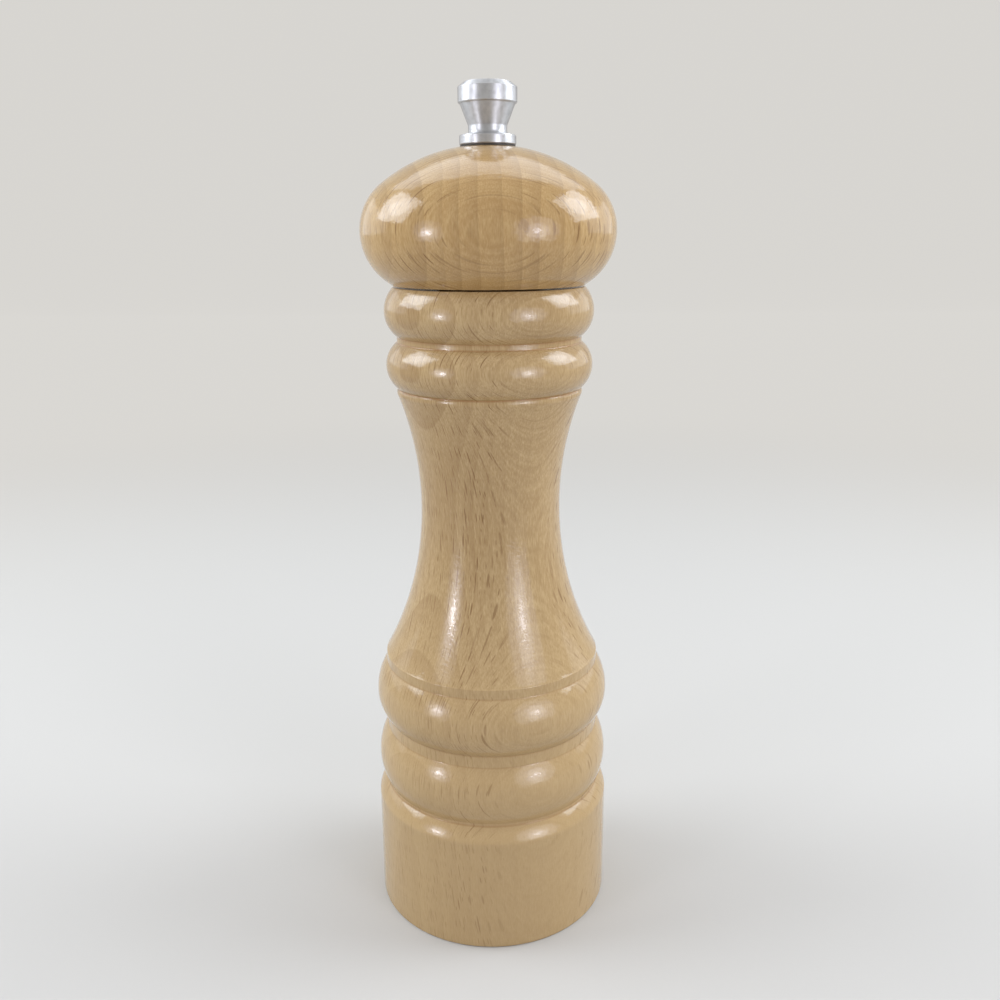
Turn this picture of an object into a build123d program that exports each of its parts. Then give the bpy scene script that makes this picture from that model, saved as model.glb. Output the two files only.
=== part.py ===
"""Turned wooden pepper mill with a knob-adjusted cone grinder.

Units are millimetres.  The origin is the centre of the foot, +Z points up along the
axis that everything is turned about, and the two bar screws lie on the X axis.
"""
from build123d import *
from math import asin, atan2, cos, degrees, radians, sin, sqrt, tan
import os

# ------------------------------------------------------------------ driving dimensions

# Outside of the turned body.  Heights are the height of each stretch, foot first.
base_radius = 31.6
base_height = 30.4
foot_round = 0.5
shoulder_round = 2.6
shoulder_turn = 20.0
groove_depth = 2.3
shoulder_slope_height = 3.41
groove_height = 0.8
lower_bead_radius = 31.15
lower_bead_rise = 7.1
lower_bead_fall = 8.35
lower_neck_depth = 2.55
lower_neck_height = 3.25
middle_bead_rise = 6.85
middle_bead_fall = 8.6
step_depth = 2.8
step_height = 2.6
step_chamfer = 0.15
waist_radius = 18.05
flare_height = 40.25
neck_rise = 28.45
collar_radius = 23.35
collar_height = 1.9
collar_bulge = 0.25
upper_bead_radius = 25.85
upper_bead_rise = 5.75
upper_bead_fall = 5.65
upper_neck_radius = 23.05
upper_neck_height = 1.4
top_bead_radius = 26.0
top_bead_rise = 6.05
top_bead_fall = 5.9
rim_radius = 23.9
rim_round = 0.2

# Inside of the body.
hopper_radius = 12.75
hopper_mouth_chamfer = 0.8
funnel_height = 5.0
chamber_radius = 16.9
foot_recess_depth = 6.0
foot_recess_chamfer = 0.6

# Head: the turned cap with its tenon.
seam_gap = 0.35
head_edge_radius = 24.1
head_edge_round = 0.3
head_belly_radius = 31.1
head_belly_rise = 12.65
head_crown_rise = 19.85
head_crown_round = 14.0
head_land_radius = 7.5
tenon_length = 12.0
tenon_clearance = 0.35
tenon_chamfer = 0.6
head_bore_clearance = 0.55
stud_bore_clearance = 0.6

# Finial knob, from the flange up.
flange_radius = 6.78
flange_height = 2.3
flange_slope_height = 0.85
knob_edge_round = 0.25
knob_neck_radius = 4.62
knob_neck_height = 1.2
knob_cone_radius = 6.58
knob_cone_height = 4.9
knob_band_radius = 7.02
knob_band_height = 3.6
knob_top_radius = 5.5
knob_bevel_height = 1.15
knob_washer_radius = 6.6
knob_washer_thickness = 0.4
knob_bore_depth = 11.2
knob_lathe_centre_radius = 0.6
knob_lathe_centre_taper = 30.0

# Spindle: a square rod with a threaded stud on top and a round pilot below.
spindle_side = 5.0
spindle_edge_round = 0.3
stud_radius = 2.5
stud_length = 34.0
stud_chamfer = 0.6
pilot_radius = 2.0
pilot_overhang = 1.2
clip_groove_depth = 0.4

# Running and assembly clearances.
running_clearance = 0.06
thread_clearance = 0.05
drive_clearance = 0.1
face_gap = 0.04
fixed_clearance = 0.03
corner_clearance = 0.14

# Grinder.
bar_thickness = 2.0
bar_width = 12.0
bar_end_margin = 0.4
bar_edge_round = 0.3
grind_travel = 1.2
travel_margin = 0.4
clip_thickness = 0.7
clip_radius = 4.2
clip_mouth = 3.2
cone_washer_radius = 5.5
cone_washer_thickness = 0.6
cone_foot_radius = 14.5
cone_band_height = 3.0
cone_band_angle = 20.0
cone_height = 11.0
cone_angle = 30.0
cone_edge_round = 0.4
cone_groove_count = 12
cone_groove_depth = 1.5
cone_groove_width = 2.6
cone_groove_slant = 20.0
band_groove_count = 36
band_groove_depth = 0.5
band_groove_width = 0.9
grind_gap = 0.35
ring_radius = 18.95
ring_height = 13.4
ring_nest_depth = 1.4
ring_mouth_margin = 2.75
ring_mouth_height = 3.2
ring_groove_count = 18
ring_groove_depth = 1.0
ring_groove_width = 1.9
ring_groove_slant = -16.0
cutter_overshoot = 0.2  # share of a groove's length that its cutter runs past each end

# Spring and its bracket.
thrust_washer_radius = 6.8
thrust_washer_thickness = 0.8
spring_coil_radius = 5.6
spring_wire_radius = 0.6
spring_length = 20.4
spring_turns = 7
spring_seat_thickness = 0.8
spring_seat_lip = 0.7
bracket_thickness = 1.2
bracket_width = 9.0
bracket_chamber_clearance = 0.76
bracket_bend = 0.8
bracket_foot_margin = 0.55
bracket_headroom = 2.5

# Drive plate under the tenon.
drive_plate_radius = 9.6
drive_plate_thickness = 1.5

# Countersunk wood screws: two through the bar and two through the drive plate.
bar_screw_radius = 1.5
bar_screw_head_radius = 2.6
bar_screw_head_depth = 1.3
bar_screw_length = 14.0
bar_screw_ring_wall = 1.05
bar_screw_end_margin = 0.5
plate_screw_radius = 1.2
plate_screw_head_radius = 2.2
plate_screw_head_depth = 1.1
plate_screw_length = 9.0
plate_screw_edge_margin = 0.7
screw_tip_length = 2.5
screw_slot_width = 0.6
screw_slot_depth = 0.6

# ------------------------------------------------------------------ levels and radii

# Body levels, foot first.
shoulder_z = base_height + shoulder_round * sin(radians(shoulder_turn))
groove_z = shoulder_z + shoulder_slope_height
lower_bead_foot_z = groove_z + groove_height
lower_bead_z = lower_bead_foot_z + lower_bead_rise
lower_neck_z = lower_bead_z + lower_bead_fall
middle_bead_foot_z = lower_neck_z + lower_neck_height
middle_bead_z = middle_bead_foot_z + middle_bead_rise
step_z = middle_bead_z + middle_bead_fall
flare_z = step_z + step_height
waist_z = flare_z + step_chamfer + flare_height
collar_z = waist_z + neck_rise
upper_bead_foot_z = collar_z + collar_height
upper_bead_z = upper_bead_foot_z + upper_bead_rise
upper_neck_z = upper_bead_z + upper_bead_fall
top_bead_foot_z = upper_neck_z + upper_neck_height
top_bead_z = top_bead_foot_z + top_bead_rise
rim_z = top_bead_z + top_bead_fall

shoulder_radius = base_radius - shoulder_round * (1 - cos(radians(shoulder_turn)))
groove_radius = base_radius - groove_depth
lower_neck_radius = lower_bead_radius - lower_neck_depth
step_radius = lower_bead_radius - step_depth
flare_radius = step_radius - step_chamfer
collar_end_radius = collar_radius - collar_bulge

# The bar's screws stand clear of the grinding ring, and the recess takes in the whole bar.
bar_screw_offset = ring_radius + bar_screw_ring_wall + bar_screw_radius
bar_radius = bar_screw_offset + bar_screw_head_radius + bar_screw_end_margin
foot_recess_radius = bar_radius + bar_end_margin
plate_screw_offset = drive_plate_radius - plate_screw_head_radius - plate_screw_edge_margin

# Grinder levels, from the foot recess up.
ledge_z = foot_recess_depth
bar_z = ledge_z - bar_thickness
ring_z = ledge_z - ring_nest_depth
ring_top_z = ring_z + ring_height
clip_z = ledge_z + grind_travel + travel_margin
cone_washer_z = clip_z + clip_thickness
cone_z = cone_washer_z + cone_washer_thickness
cone_band_z = cone_z + cone_band_height
cone_top_z = cone_z + cone_height
thrust_washer_z = cone_top_z + face_gap
spring_z = thrust_washer_z + thrust_washer_thickness + face_gap
spring_seat_z = spring_z + spring_length
bracket_head_z = spring_seat_z + spring_seat_thickness
bracket_top_z = bracket_head_z + bracket_thickness
clamp_z = ring_top_z + bracket_thickness
funnel_z = bracket_top_z + bracket_headroom
hopper_z = funnel_z + funnel_height

cone_band_radius = cone_foot_radius - cone_band_height * tan(radians(cone_band_angle))
cone_top_radius = cone_band_radius - (cone_top_z - cone_band_z) * tan(radians(cone_angle))
ring_bore_radius = ring_radius + fixed_clearance
ring_mouth_radius = ring_radius - ring_mouth_margin
ring_mouth_z = ring_top_z - ring_mouth_height
spindle_corner_radius = spindle_side / 2 * sqrt(2)
corner_bore_radius = spindle_corner_radius + corner_clearance

# Head, knob and spindle levels.
head_z = rim_z + seam_gap
head_belly_z = head_z + head_belly_rise
head_apex_z = head_belly_z + head_crown_rise
tenon_z = head_z - tenon_length
tenon_radius = hopper_radius - tenon_clearance
crown_centre_radius = head_belly_radius - head_crown_round
crown_radius = (
    (crown_centre_radius**2 + head_crown_rise**2 - head_crown_round**2)
    / (2 * (head_crown_rise - head_crown_round))
)
crown_centre_z = head_apex_z - crown_radius
crown_turn = atan2(head_belly_z - crown_centre_z, crown_centre_radius)
land_z = crown_centre_z + sqrt(crown_radius**2 - head_land_radius**2)
knob_washer_z = land_z + face_gap
knob_z = knob_washer_z + knob_washer_thickness + face_gap
knob_cone_z = knob_z + flange_height + flange_slope_height + knob_neck_height
knob_band_z = knob_cone_z + knob_cone_height
knob_bevel_z = knob_band_z + knob_band_height
knob_top_z = knob_bevel_z + knob_bevel_height
knob_bore_top_z = knob_z + knob_bore_depth
spindle_top_z = knob_bore_top_z - face_gap - travel_margin
square_top_z = spindle_top_z - stud_length
pilot_z = bar_z - pilot_overhang
head_bore_radius = spindle_corner_radius + head_bore_clearance
stud_bore_radius = stud_radius + stud_bore_clearance
stud_bore_z = square_top_z + spindle_side
drive_plate_top_z = tenon_z + drive_plate_thickness


# ------------------------------------------------------------------ shared shapes


def bead_arc(belly, corner):
    """Arc that leaves a bead's belly upright and ends at a corner above or below it."""
    direction = (0, 1) if corner[1] > belly[1] else (0, -1)
    return TangentArc(belly, corner, tangent=direction)


def wood_screw(radius, head_radius, head_depth, length):
    """Countersunk wood screw, head down at z 0, with a slot across its head."""
    with BuildPart() as screw:
        with BuildSketch(Plane.XZ):
            with BuildLine():
                Polyline(
                    (0, 0),
                    (head_radius, 0),
                    (radius, head_depth),
                    (radius, length - screw_tip_length),
                    (0, length),
                    close=True,
                )
            make_face()
        revolve(axis=Axis.Z)
        with BuildSketch():
            Rectangle(2 * head_radius, screw_slot_width)
        extrude(amount=screw_slot_depth, mode=Mode.SUBTRACT)
    return screw.part


def screw_hole(radius, head_radius, head_depth, length):
    """Clearance around a wood screw: a countersink at z 0 and a straight hole above it."""
    with BuildPart() as hole:
        with BuildSketch(Plane.XZ):
            with BuildLine():
                Polyline(
                    (0, 0),
                    (head_radius + fixed_clearance, 0),
                    (radius + fixed_clearance, head_depth),
                    (radius + fixed_clearance, length + fixed_clearance),
                    (0, length + fixed_clearance),
                    close=True,
                )
            make_face()
        revolve(axis=Axis.Z)
    return hole.part


def groove_cutter(foot_radius, foot_z, angle, slant, width, depth, length, inward):
    """V-shaped cutter that lies along a cone's side.

    It starts at foot_radius on the X axis, leans inward by angle as it climbs and is
    turned about the cone's normal by slant.  Its point reaches depth below the surface,
    towards the axis if inward is 1 and away from it if inward is -1.
    """
    lean = radians(angle)
    normal = Vector(cos(lean), 0, sin(lean))
    climb = Vector(-sin(lean), 0, cos(lean))
    along = climb * cos(radians(slant)) + Vector(0, 1, 0) * sin(radians(slant))
    overshoot = cutter_overshoot * length
    start = Vector(foot_radius, 0, foot_z) - along * overshoot
    profile_plane = Plane(origin=start, x_dir=normal, z_dir=along)
    with BuildPart() as cutter:
        with BuildSketch(profile_plane):
            Polygon(
                (-inward * depth, 0),
                (inward * depth, -width),
                (inward * depth, width),
                align=None,
            )
        extrude(amount=length + 2 * overshoot)
    return cutter.part


# ------------------------------------------------------------------ turned wood

bar_screw_hole = screw_hole(
    bar_screw_radius, bar_screw_head_radius, bar_screw_head_depth, bar_screw_length
)
plate_screw_hole = screw_hole(
    plate_screw_radius, plate_screw_head_radius, plate_screw_head_depth, plate_screw_length
)

with BuildPart() as mill_body:
    with BuildSketch(Plane.XZ):
        with BuildLine():
            Line((0, 0), (base_radius - foot_round, 0))
            TangentArc(
                (base_radius - foot_round, 0), (base_radius, foot_round), tangent=(1, 0)
            )
            Line((base_radius, foot_round), (base_radius, base_height))
            TangentArc(
                (base_radius, base_height), (shoulder_radius, shoulder_z), tangent=(0, 1)
            )
            TangentArc(
                (shoulder_radius, shoulder_z), (groove_radius, groove_z),
                tangent=(-sin(radians(shoulder_turn)), cos(radians(shoulder_turn)))
            )
            Line((groove_radius, groove_z), (groove_radius, lower_bead_foot_z))
            bead_arc((lower_bead_radius, lower_bead_z), (groove_radius, lower_bead_foot_z))
            bead_arc((lower_bead_radius, lower_bead_z), (lower_neck_radius, lower_neck_z))
            Line((lower_neck_radius, lower_neck_z), (lower_neck_radius, middle_bead_foot_z))
            bead_arc(
                (lower_bead_radius, middle_bead_z), (lower_neck_radius, middle_bead_foot_z)
            )
            bead_arc((lower_bead_radius, middle_bead_z), (step_radius, step_z))
            Line((step_radius, step_z), (step_radius, flare_z))
            Line((step_radius, flare_z), (flare_radius, flare_z + step_chamfer))
            bead_arc((waist_radius, waist_z), (flare_radius, flare_z + step_chamfer))
            bead_arc((waist_radius, waist_z), (collar_end_radius, collar_z))
            ThreePointArc(
                (collar_end_radius, collar_z), (collar_radius, collar_z + collar_height / 2),
                (collar_end_radius, upper_bead_foot_z)
            )
            bead_arc((upper_bead_radius, upper_bead_z), (collar_end_radius, upper_bead_foot_z))
            bead_arc((upper_bead_radius, upper_bead_z), (upper_neck_radius, upper_neck_z))
            Line((upper_neck_radius, upper_neck_z), (upper_neck_radius, top_bead_foot_z))
            bead_arc((top_bead_radius, top_bead_z), (upper_neck_radius, top_bead_foot_z))
            bead_arc((top_bead_radius, top_bead_z), (rim_radius, rim_z - rim_round))
            Line((rim_radius, rim_z - rim_round), (rim_radius - rim_round, rim_z))
            Line((rim_radius - rim_round, rim_z), (0, rim_z))
            Line((0, rim_z), (0, 0))
        make_face()
    revolve(axis=Axis.Z)
    # Hopper, funnel, grinding chamber, ring bore and foot recess, turned from inside.
    with BuildSketch(Plane.XZ):
        with BuildLine():
            Polyline(
                (0, 0),
                (foot_recess_radius + foot_recess_chamfer, 0),
                (foot_recess_radius, foot_recess_chamfer),
                (foot_recess_radius, ledge_z),
                (ring_bore_radius, ledge_z),
                (ring_bore_radius, clamp_z),
                (chamber_radius, clamp_z),
                (chamber_radius, funnel_z),
                (hopper_radius, hopper_z),
                (hopper_radius, rim_z - hopper_mouth_chamfer),
                (hopper_radius + hopper_mouth_chamfer, rim_z),
                (0, rim_z),
                close=True,
            )
        make_face()
    revolve(axis=Axis.Z, mode=Mode.SUBTRACT)
    with Locations((0, 0, bar_z)):
        with PolarLocations(bar_screw_offset, 2):
            add(bar_screw_hole, mode=Mode.SUBTRACT)

with BuildPart() as head:
    with BuildSketch(Plane.XZ):
        with BuildLine():
            Line((0, tenon_z), (tenon_radius - tenon_chamfer, tenon_z))
            Line(
                (tenon_radius - tenon_chamfer, tenon_z), (tenon_radius, tenon_z + tenon_chamfer)
            )
            Line((tenon_radius, tenon_z + tenon_chamfer), (tenon_radius, head_z))
            Line((tenon_radius, head_z), (head_edge_radius - head_edge_round, head_z))
            Line(
                (head_edge_radius - head_edge_round, head_z),
                (head_edge_radius, head_z + head_edge_round),
            )
            bead_arc(
                (head_belly_radius, head_belly_z), (head_edge_radius, head_z + head_edge_round)
            )
            CenterArc(
                (crown_centre_radius, head_belly_z), head_crown_round, 0, degrees(crown_turn)
            )
            CenterArc(
                (0, crown_centre_z),
                crown_radius,
                degrees(crown_turn),
                90 - degrees(asin(head_land_radius / crown_radius)) - degrees(crown_turn),
            )
            Line((head_land_radius, land_z), (0, land_z))
            Line((0, land_z), (0, tenon_z))
        make_face()
    revolve(axis=Axis.Z)
    with BuildSketch(Plane.XZ):
        with BuildLine():
            Polyline(
                (0, tenon_z),
                (drive_plate_radius + fixed_clearance, tenon_z),
                (drive_plate_radius + fixed_clearance, drive_plate_top_z),
                (head_bore_radius, drive_plate_top_z),
                (head_bore_radius, stud_bore_z),
                (stud_bore_radius, stud_bore_z),
                (stud_bore_radius, land_z),
                (0, land_z),
                close=True,
            )
        make_face()
    revolve(axis=Axis.Z, mode=Mode.SUBTRACT)
    with Locations((0, 0, tenon_z)):
        with PolarLocations(plate_screw_offset, 2):
            add(plate_screw_hole, mode=Mode.SUBTRACT)

# ------------------------------------------------------------------ knob on the spindle

with BuildPart() as finial_knob:
    flange_slope_z = knob_z + flange_height
    neck_z = flange_slope_z + flange_slope_height
    with BuildSketch(Plane.XZ):
        with BuildLine():
            Polyline(
                (0, knob_z),
                (flange_radius - knob_edge_round, knob_z),
                (flange_radius, knob_z + knob_edge_round),
                (flange_radius, flange_slope_z - knob_edge_round),
                (flange_radius - knob_edge_round, flange_slope_z),
            )
            TangentArc(
                (knob_neck_radius, neck_z),
                (flange_radius - knob_edge_round, flange_slope_z),
                tangent=(1, 0),
            )
            Polyline(
                (knob_neck_radius, neck_z),
                (knob_neck_radius, knob_cone_z),
                (knob_cone_radius, knob_band_z),
                (knob_band_radius - knob_edge_round, knob_band_z),
                (knob_band_radius, knob_band_z + knob_edge_round),
                (knob_band_radius, knob_bevel_z),
                (knob_top_radius, knob_top_z),
                (0, knob_top_z),
                (0, knob_z),
            )
        make_face()
    revolve(axis=Axis.Z)
    with BuildSketch(Plane.XY.offset(knob_z)):
        Circle(stud_radius + thread_clearance)
    extrude(amount=knob_bore_depth, mode=Mode.SUBTRACT)
    with BuildSketch(Plane.XY.offset(knob_top_z)):
        Circle(knob_lathe_centre_radius)
    extrude(
        amount=-knob_lathe_centre_radius, taper=knob_lathe_centre_taper, mode=Mode.SUBTRACT
    )

with BuildPart() as knob_washer:
    with BuildSketch(Plane.XY.offset(knob_washer_z)):
        Circle(knob_washer_radius)
        Circle(stud_bore_radius, mode=Mode.SUBTRACT)
    extrude(amount=knob_washer_thickness)

with BuildPart() as spindle:
    with BuildSketch(Plane.XY.offset(cone_z)):
        Rectangle(spindle_side, spindle_side)
    extrude(amount=square_top_z - cone_z)
    chamfer(edges().filter_by(Axis.Z), length=spindle_edge_round)
    with BuildSketch(Plane.XY.offset(square_top_z)):
        Circle(stud_radius)
    extrude(amount=stud_length)
    chamfer(faces().sort_by(Axis.Z)[-1].edges(), length=stud_chamfer)
    with BuildSketch(Plane.XY.offset(cone_z)):
        Circle(pilot_radius)
    extrude(amount=pilot_z - cone_z)
    chamfer(faces().sort_by(Axis.Z)[0].edges(), length=spindle_edge_round)
    with BuildSketch(Plane.XY.offset(clip_z)):
        Circle(pilot_radius + running_clearance)
        Circle(pilot_radius - clip_groove_depth, mode=Mode.SUBTRACT)
    extrude(amount=clip_thickness, mode=Mode.SUBTRACT)

# ------------------------------------------------------------------ drive plate

with BuildPart() as drive_plate:
    with BuildSketch(Plane.XY.offset(tenon_z)):
        Circle(drive_plate_radius)
        Rectangle(
            spindle_side + 2 * drive_clearance,
            spindle_side + 2 * drive_clearance,
            mode=Mode.SUBTRACT,
        )
    extrude(amount=drive_plate_thickness)
    with Locations((0, 0, tenon_z)):
        with PolarLocations(plate_screw_offset, 2):
            add(plate_screw_hole, mode=Mode.SUBTRACT)

plate_screw = wood_screw(
    plate_screw_radius, plate_screw_head_radius, plate_screw_head_depth, plate_screw_length
)
with BuildPart() as drive_plate_screws:
    with Locations((0, 0, tenon_z)):
        with PolarLocations(plate_screw_offset, 2):
            add(plate_screw)

# ------------------------------------------------------------------ bottom bar

with BuildPart() as bottom_bar:
    with BuildSketch(Plane.XY.offset(bar_z)):
        Circle(bar_radius)
        Rectangle(2 * bar_radius, bar_width, mode=Mode.INTERSECT)
        Circle(pilot_radius + running_clearance, mode=Mode.SUBTRACT)
    extrude(amount=bar_thickness)
    chamfer(
        faces().sort_by(Axis.Z)[0].outer_wire().edges(),
        length=bar_edge_round,
    )
    with Locations((0, 0, bar_z)):
        with PolarLocations(bar_screw_offset, 2):
            add(bar_screw_hole, mode=Mode.SUBTRACT)

bar_screw = wood_screw(
    bar_screw_radius, bar_screw_head_radius, bar_screw_head_depth, bar_screw_length
)
with BuildPart() as bar_screws:
    with Locations((0, 0, bar_z)):
        with PolarLocations(bar_screw_offset, 2):
            add(bar_screw)

# ------------------------------------------------------------------ grinding cone and ring

cone_side_length = (cone_top_z - cone_band_z) / cos(radians(cone_angle))
band_side_length = cone_band_height / cos(radians(cone_band_angle))
cone_groove = groove_cutter(
    cone_band_radius,
    cone_band_z,
    cone_angle,
    cone_groove_slant,
    cone_groove_width,
    cone_groove_depth,
    cone_side_length,
    1,
)
band_groove = groove_cutter(
    cone_foot_radius,
    cone_z,
    cone_band_angle,
    0,
    band_groove_width,
    band_groove_depth,
    band_side_length,
    1,
)
with BuildPart() as grinding_cone:
    with BuildSketch(Plane.XZ):
        with BuildLine():
            Polyline(
                (0, cone_z),
                (cone_foot_radius - cone_edge_round, cone_z),
                (cone_foot_radius, cone_z + cone_edge_round),
                (cone_band_radius, cone_band_z),
                (cone_top_radius, cone_top_z),
                (0, cone_top_z),
                close=True,
            )
        make_face()
    revolve(axis=Axis.Z)
    with PolarLocations(0, cone_groove_count):
        add(cone_groove, mode=Mode.SUBTRACT)
    with PolarLocations(0, band_groove_count):
        add(band_groove, mode=Mode.SUBTRACT)
    with BuildSketch(Plane.XY.offset(cone_z)):
        Rectangle(spindle_side + 2 * fixed_clearance, spindle_side + 2 * fixed_clearance)
    extrude(amount=cone_height, mode=Mode.SUBTRACT)

band_gap = grind_gap / cos(radians(cone_band_angle))
cone_gap = grind_gap / cos(radians(cone_angle))
ring_foot_radius = (
    cone_foot_radius + band_gap + (cone_z - ring_z) * tan(radians(cone_band_angle)) / 2
)
ring_throat_radius = (
    cone_band_radius + cone_gap - (ring_mouth_z - cone_band_z) * tan(radians(cone_angle))
)
ring_side_length = (ring_mouth_z - cone_band_z) / cos(radians(cone_angle))
ring_groove = groove_cutter(
    cone_band_radius + cone_gap,
    cone_band_z,
    cone_angle,
    ring_groove_slant,
    ring_groove_width,
    ring_groove_depth,
    ring_side_length,
    -1,
)
with BuildPart() as grinding_ring:
    with BuildSketch(Plane.XZ):
        with BuildLine():
            Polyline(
                (ring_foot_radius, ring_z),
                (ring_radius, ring_z),
                (ring_radius, ring_top_z),
                (ring_mouth_radius, ring_top_z),
                (ring_throat_radius, ring_mouth_z),
                (cone_band_radius + cone_gap, cone_band_z),
                (cone_foot_radius + band_gap, cone_z),
                close=True,
            )
        make_face()
    revolve(axis=Axis.Z)
    with PolarLocations(0, ring_groove_count):
        add(ring_groove, mode=Mode.SUBTRACT)
    # Notches across the underside, which the bar drops into so the ring can't turn.
    with BuildSketch(Plane.XY.offset(ring_z)):
        Rectangle(2 * ring_radius, bar_width + 2 * fixed_clearance)
    extrude(amount=ring_nest_depth, mode=Mode.SUBTRACT)

with BuildPart() as cone_washer:
    with BuildSketch(Plane.XY.offset(cone_washer_z)):
        Circle(cone_washer_radius)
        Circle(pilot_radius + fixed_clearance, mode=Mode.SUBTRACT)
    extrude(amount=cone_washer_thickness)

with BuildPart() as spindle_clip:
    with BuildSketch(Plane.XY.offset(clip_z)):
        Circle(clip_radius)
        Circle(pilot_radius - clip_groove_depth + fixed_clearance, mode=Mode.SUBTRACT)
        with Locations((clip_radius, 0)):
            Rectangle(2 * clip_radius, clip_mouth, mode=Mode.SUBTRACT)
    extrude(amount=clip_thickness)

# ------------------------------------------------------------------ spring and bracket

with BuildPart() as thrust_washer:
    with BuildSketch(Plane.XY.offset(thrust_washer_z)):
        Circle(thrust_washer_radius)
        Circle(corner_bore_radius, mode=Mode.SUBTRACT)
    extrude(amount=thrust_washer_thickness)

with BuildPart() as spring:
    spring_pitch = spring_length / spring_turns
    with BuildLine():
        coil = Helix(
            pitch=spring_pitch,
            height=spring_length,
            radius=spring_coil_radius,
            center=(0, 0, spring_z),
        )
    with BuildSketch(Plane(origin=coil @ 0, z_dir=coil % 0)):
        Circle(spring_wire_radius)
    sweep(path=coil, is_frenet=True)
    # The ends are ground flat.
    with BuildSketch(Plane.XY.offset(spring_z)):
        Circle(2 * spring_coil_radius)
    extrude(amount=spring_length, mode=Mode.INTERSECT)

with BuildPart() as spring_seat:
    with BuildSketch(Plane.XY.offset(spring_seat_z)):
        Circle(thrust_washer_radius)
        Circle(corner_bore_radius, mode=Mode.SUBTRACT)
    extrude(amount=spring_seat_thickness)
    with BuildSketch(Plane.XY.offset(spring_seat_z)):
        Circle(spring_coil_radius - spring_wire_radius - corner_clearance)
        Circle(corner_bore_radius, mode=Mode.SUBTRACT)
    extrude(amount=-spring_seat_lip)

with BuildPart() as spring_bracket:
    foot_tip = ring_radius - bracket_foot_margin
    leg_x = sqrt((chamber_radius - bracket_chamber_clearance) ** 2 - (bracket_width / 2) ** 2)
    with BuildSketch(Plane.XZ):
        with BuildLine():
            strap = FilletPolyline(
                (-foot_tip, ring_top_z),
                (-leg_x + bracket_thickness, ring_top_z),
                (-leg_x + bracket_thickness, bracket_head_z),
                (leg_x - bracket_thickness, bracket_head_z),
                (leg_x - bracket_thickness, ring_top_z),
                (foot_tip, ring_top_z),
                radius=bracket_bend,
            )
            offset(strap, amount=bracket_thickness, side=Side.LEFT)
        make_face()
    extrude(amount=bracket_width / 2, both=True)
    with BuildSketch(Plane.XY.offset(bracket_head_z)):
        Circle(corner_bore_radius)
    extrude(amount=bracket_thickness, mode=Mode.SUBTRACT)

# ------------------------------------------------------------------ export

mill_body.part.label = "mill_body"
head.part.label = "head"
finial_knob.part.label = "finial_knob"
knob_washer.part.label = "knob_washer"
spindle.part.label = "spindle"
drive_plate.part.label = "drive_plate"
drive_plate_screws.part.label = "drive_plate_screws"
bottom_bar.part.label = "bottom_bar"
bar_screws.part.label = "bar_screws"
grinding_cone.part.label = "grinding_cone"
grinding_ring.part.label = "grinding_ring"
cone_washer.part.label = "cone_washer"
spindle_clip.part.label = "spindle_clip"
thrust_washer.part.label = "thrust_washer"
spring.part.label = "spring"
spring_seat.part.label = "spring_seat"
spring_bracket.part.label = "spring_bracket"

os.makedirs("parts", exist_ok=True)
export_step(mill_body.part, "parts/mill_body.step")
export_step(head.part, "parts/head.step")
export_step(finial_knob.part, "parts/finial_knob.step")
export_step(knob_washer.part, "parts/knob_washer.step")
export_step(spindle.part, "parts/spindle.step")
export_step(drive_plate.part, "parts/drive_plate.step")
export_step(drive_plate_screws.part, "parts/drive_plate_screws.step")
export_step(bottom_bar.part, "parts/bottom_bar.step")
export_step(bar_screws.part, "parts/bar_screws.step")
export_step(grinding_cone.part, "parts/grinding_cone.step")
export_step(grinding_ring.part, "parts/grinding_ring.step")
export_step(cone_washer.part, "parts/cone_washer.step")
export_step(spindle_clip.part, "parts/spindle_clip.step")
export_step(thrust_washer.part, "parts/thrust_washer.step")
export_step(spring.part, "parts/spring.step")
export_step(spring_seat.part, "parts/spring_seat.step")
export_step(spring_bracket.part, "parts/spring_bracket.step")
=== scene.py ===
"""Looks of a turned beech pepper mill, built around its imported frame.

Lengths in the classes are millimetres; meshes are made in metres, in the frame's own axes:
the origin is the centre of the foot and +Z runs up the axis that everything is turned about.
"""
from __future__ import annotations

import logging
from dataclasses import dataclass, field
from enum import Enum
from functools import reduce
from math import asin, atan2, ceil, cos, degrees, pi, radians, sin, sqrt
from typing import Callable, ClassVar, Sequence, Union

import bpy
import numpy as np
from mathutils import Euler, Matrix, Vector

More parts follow.
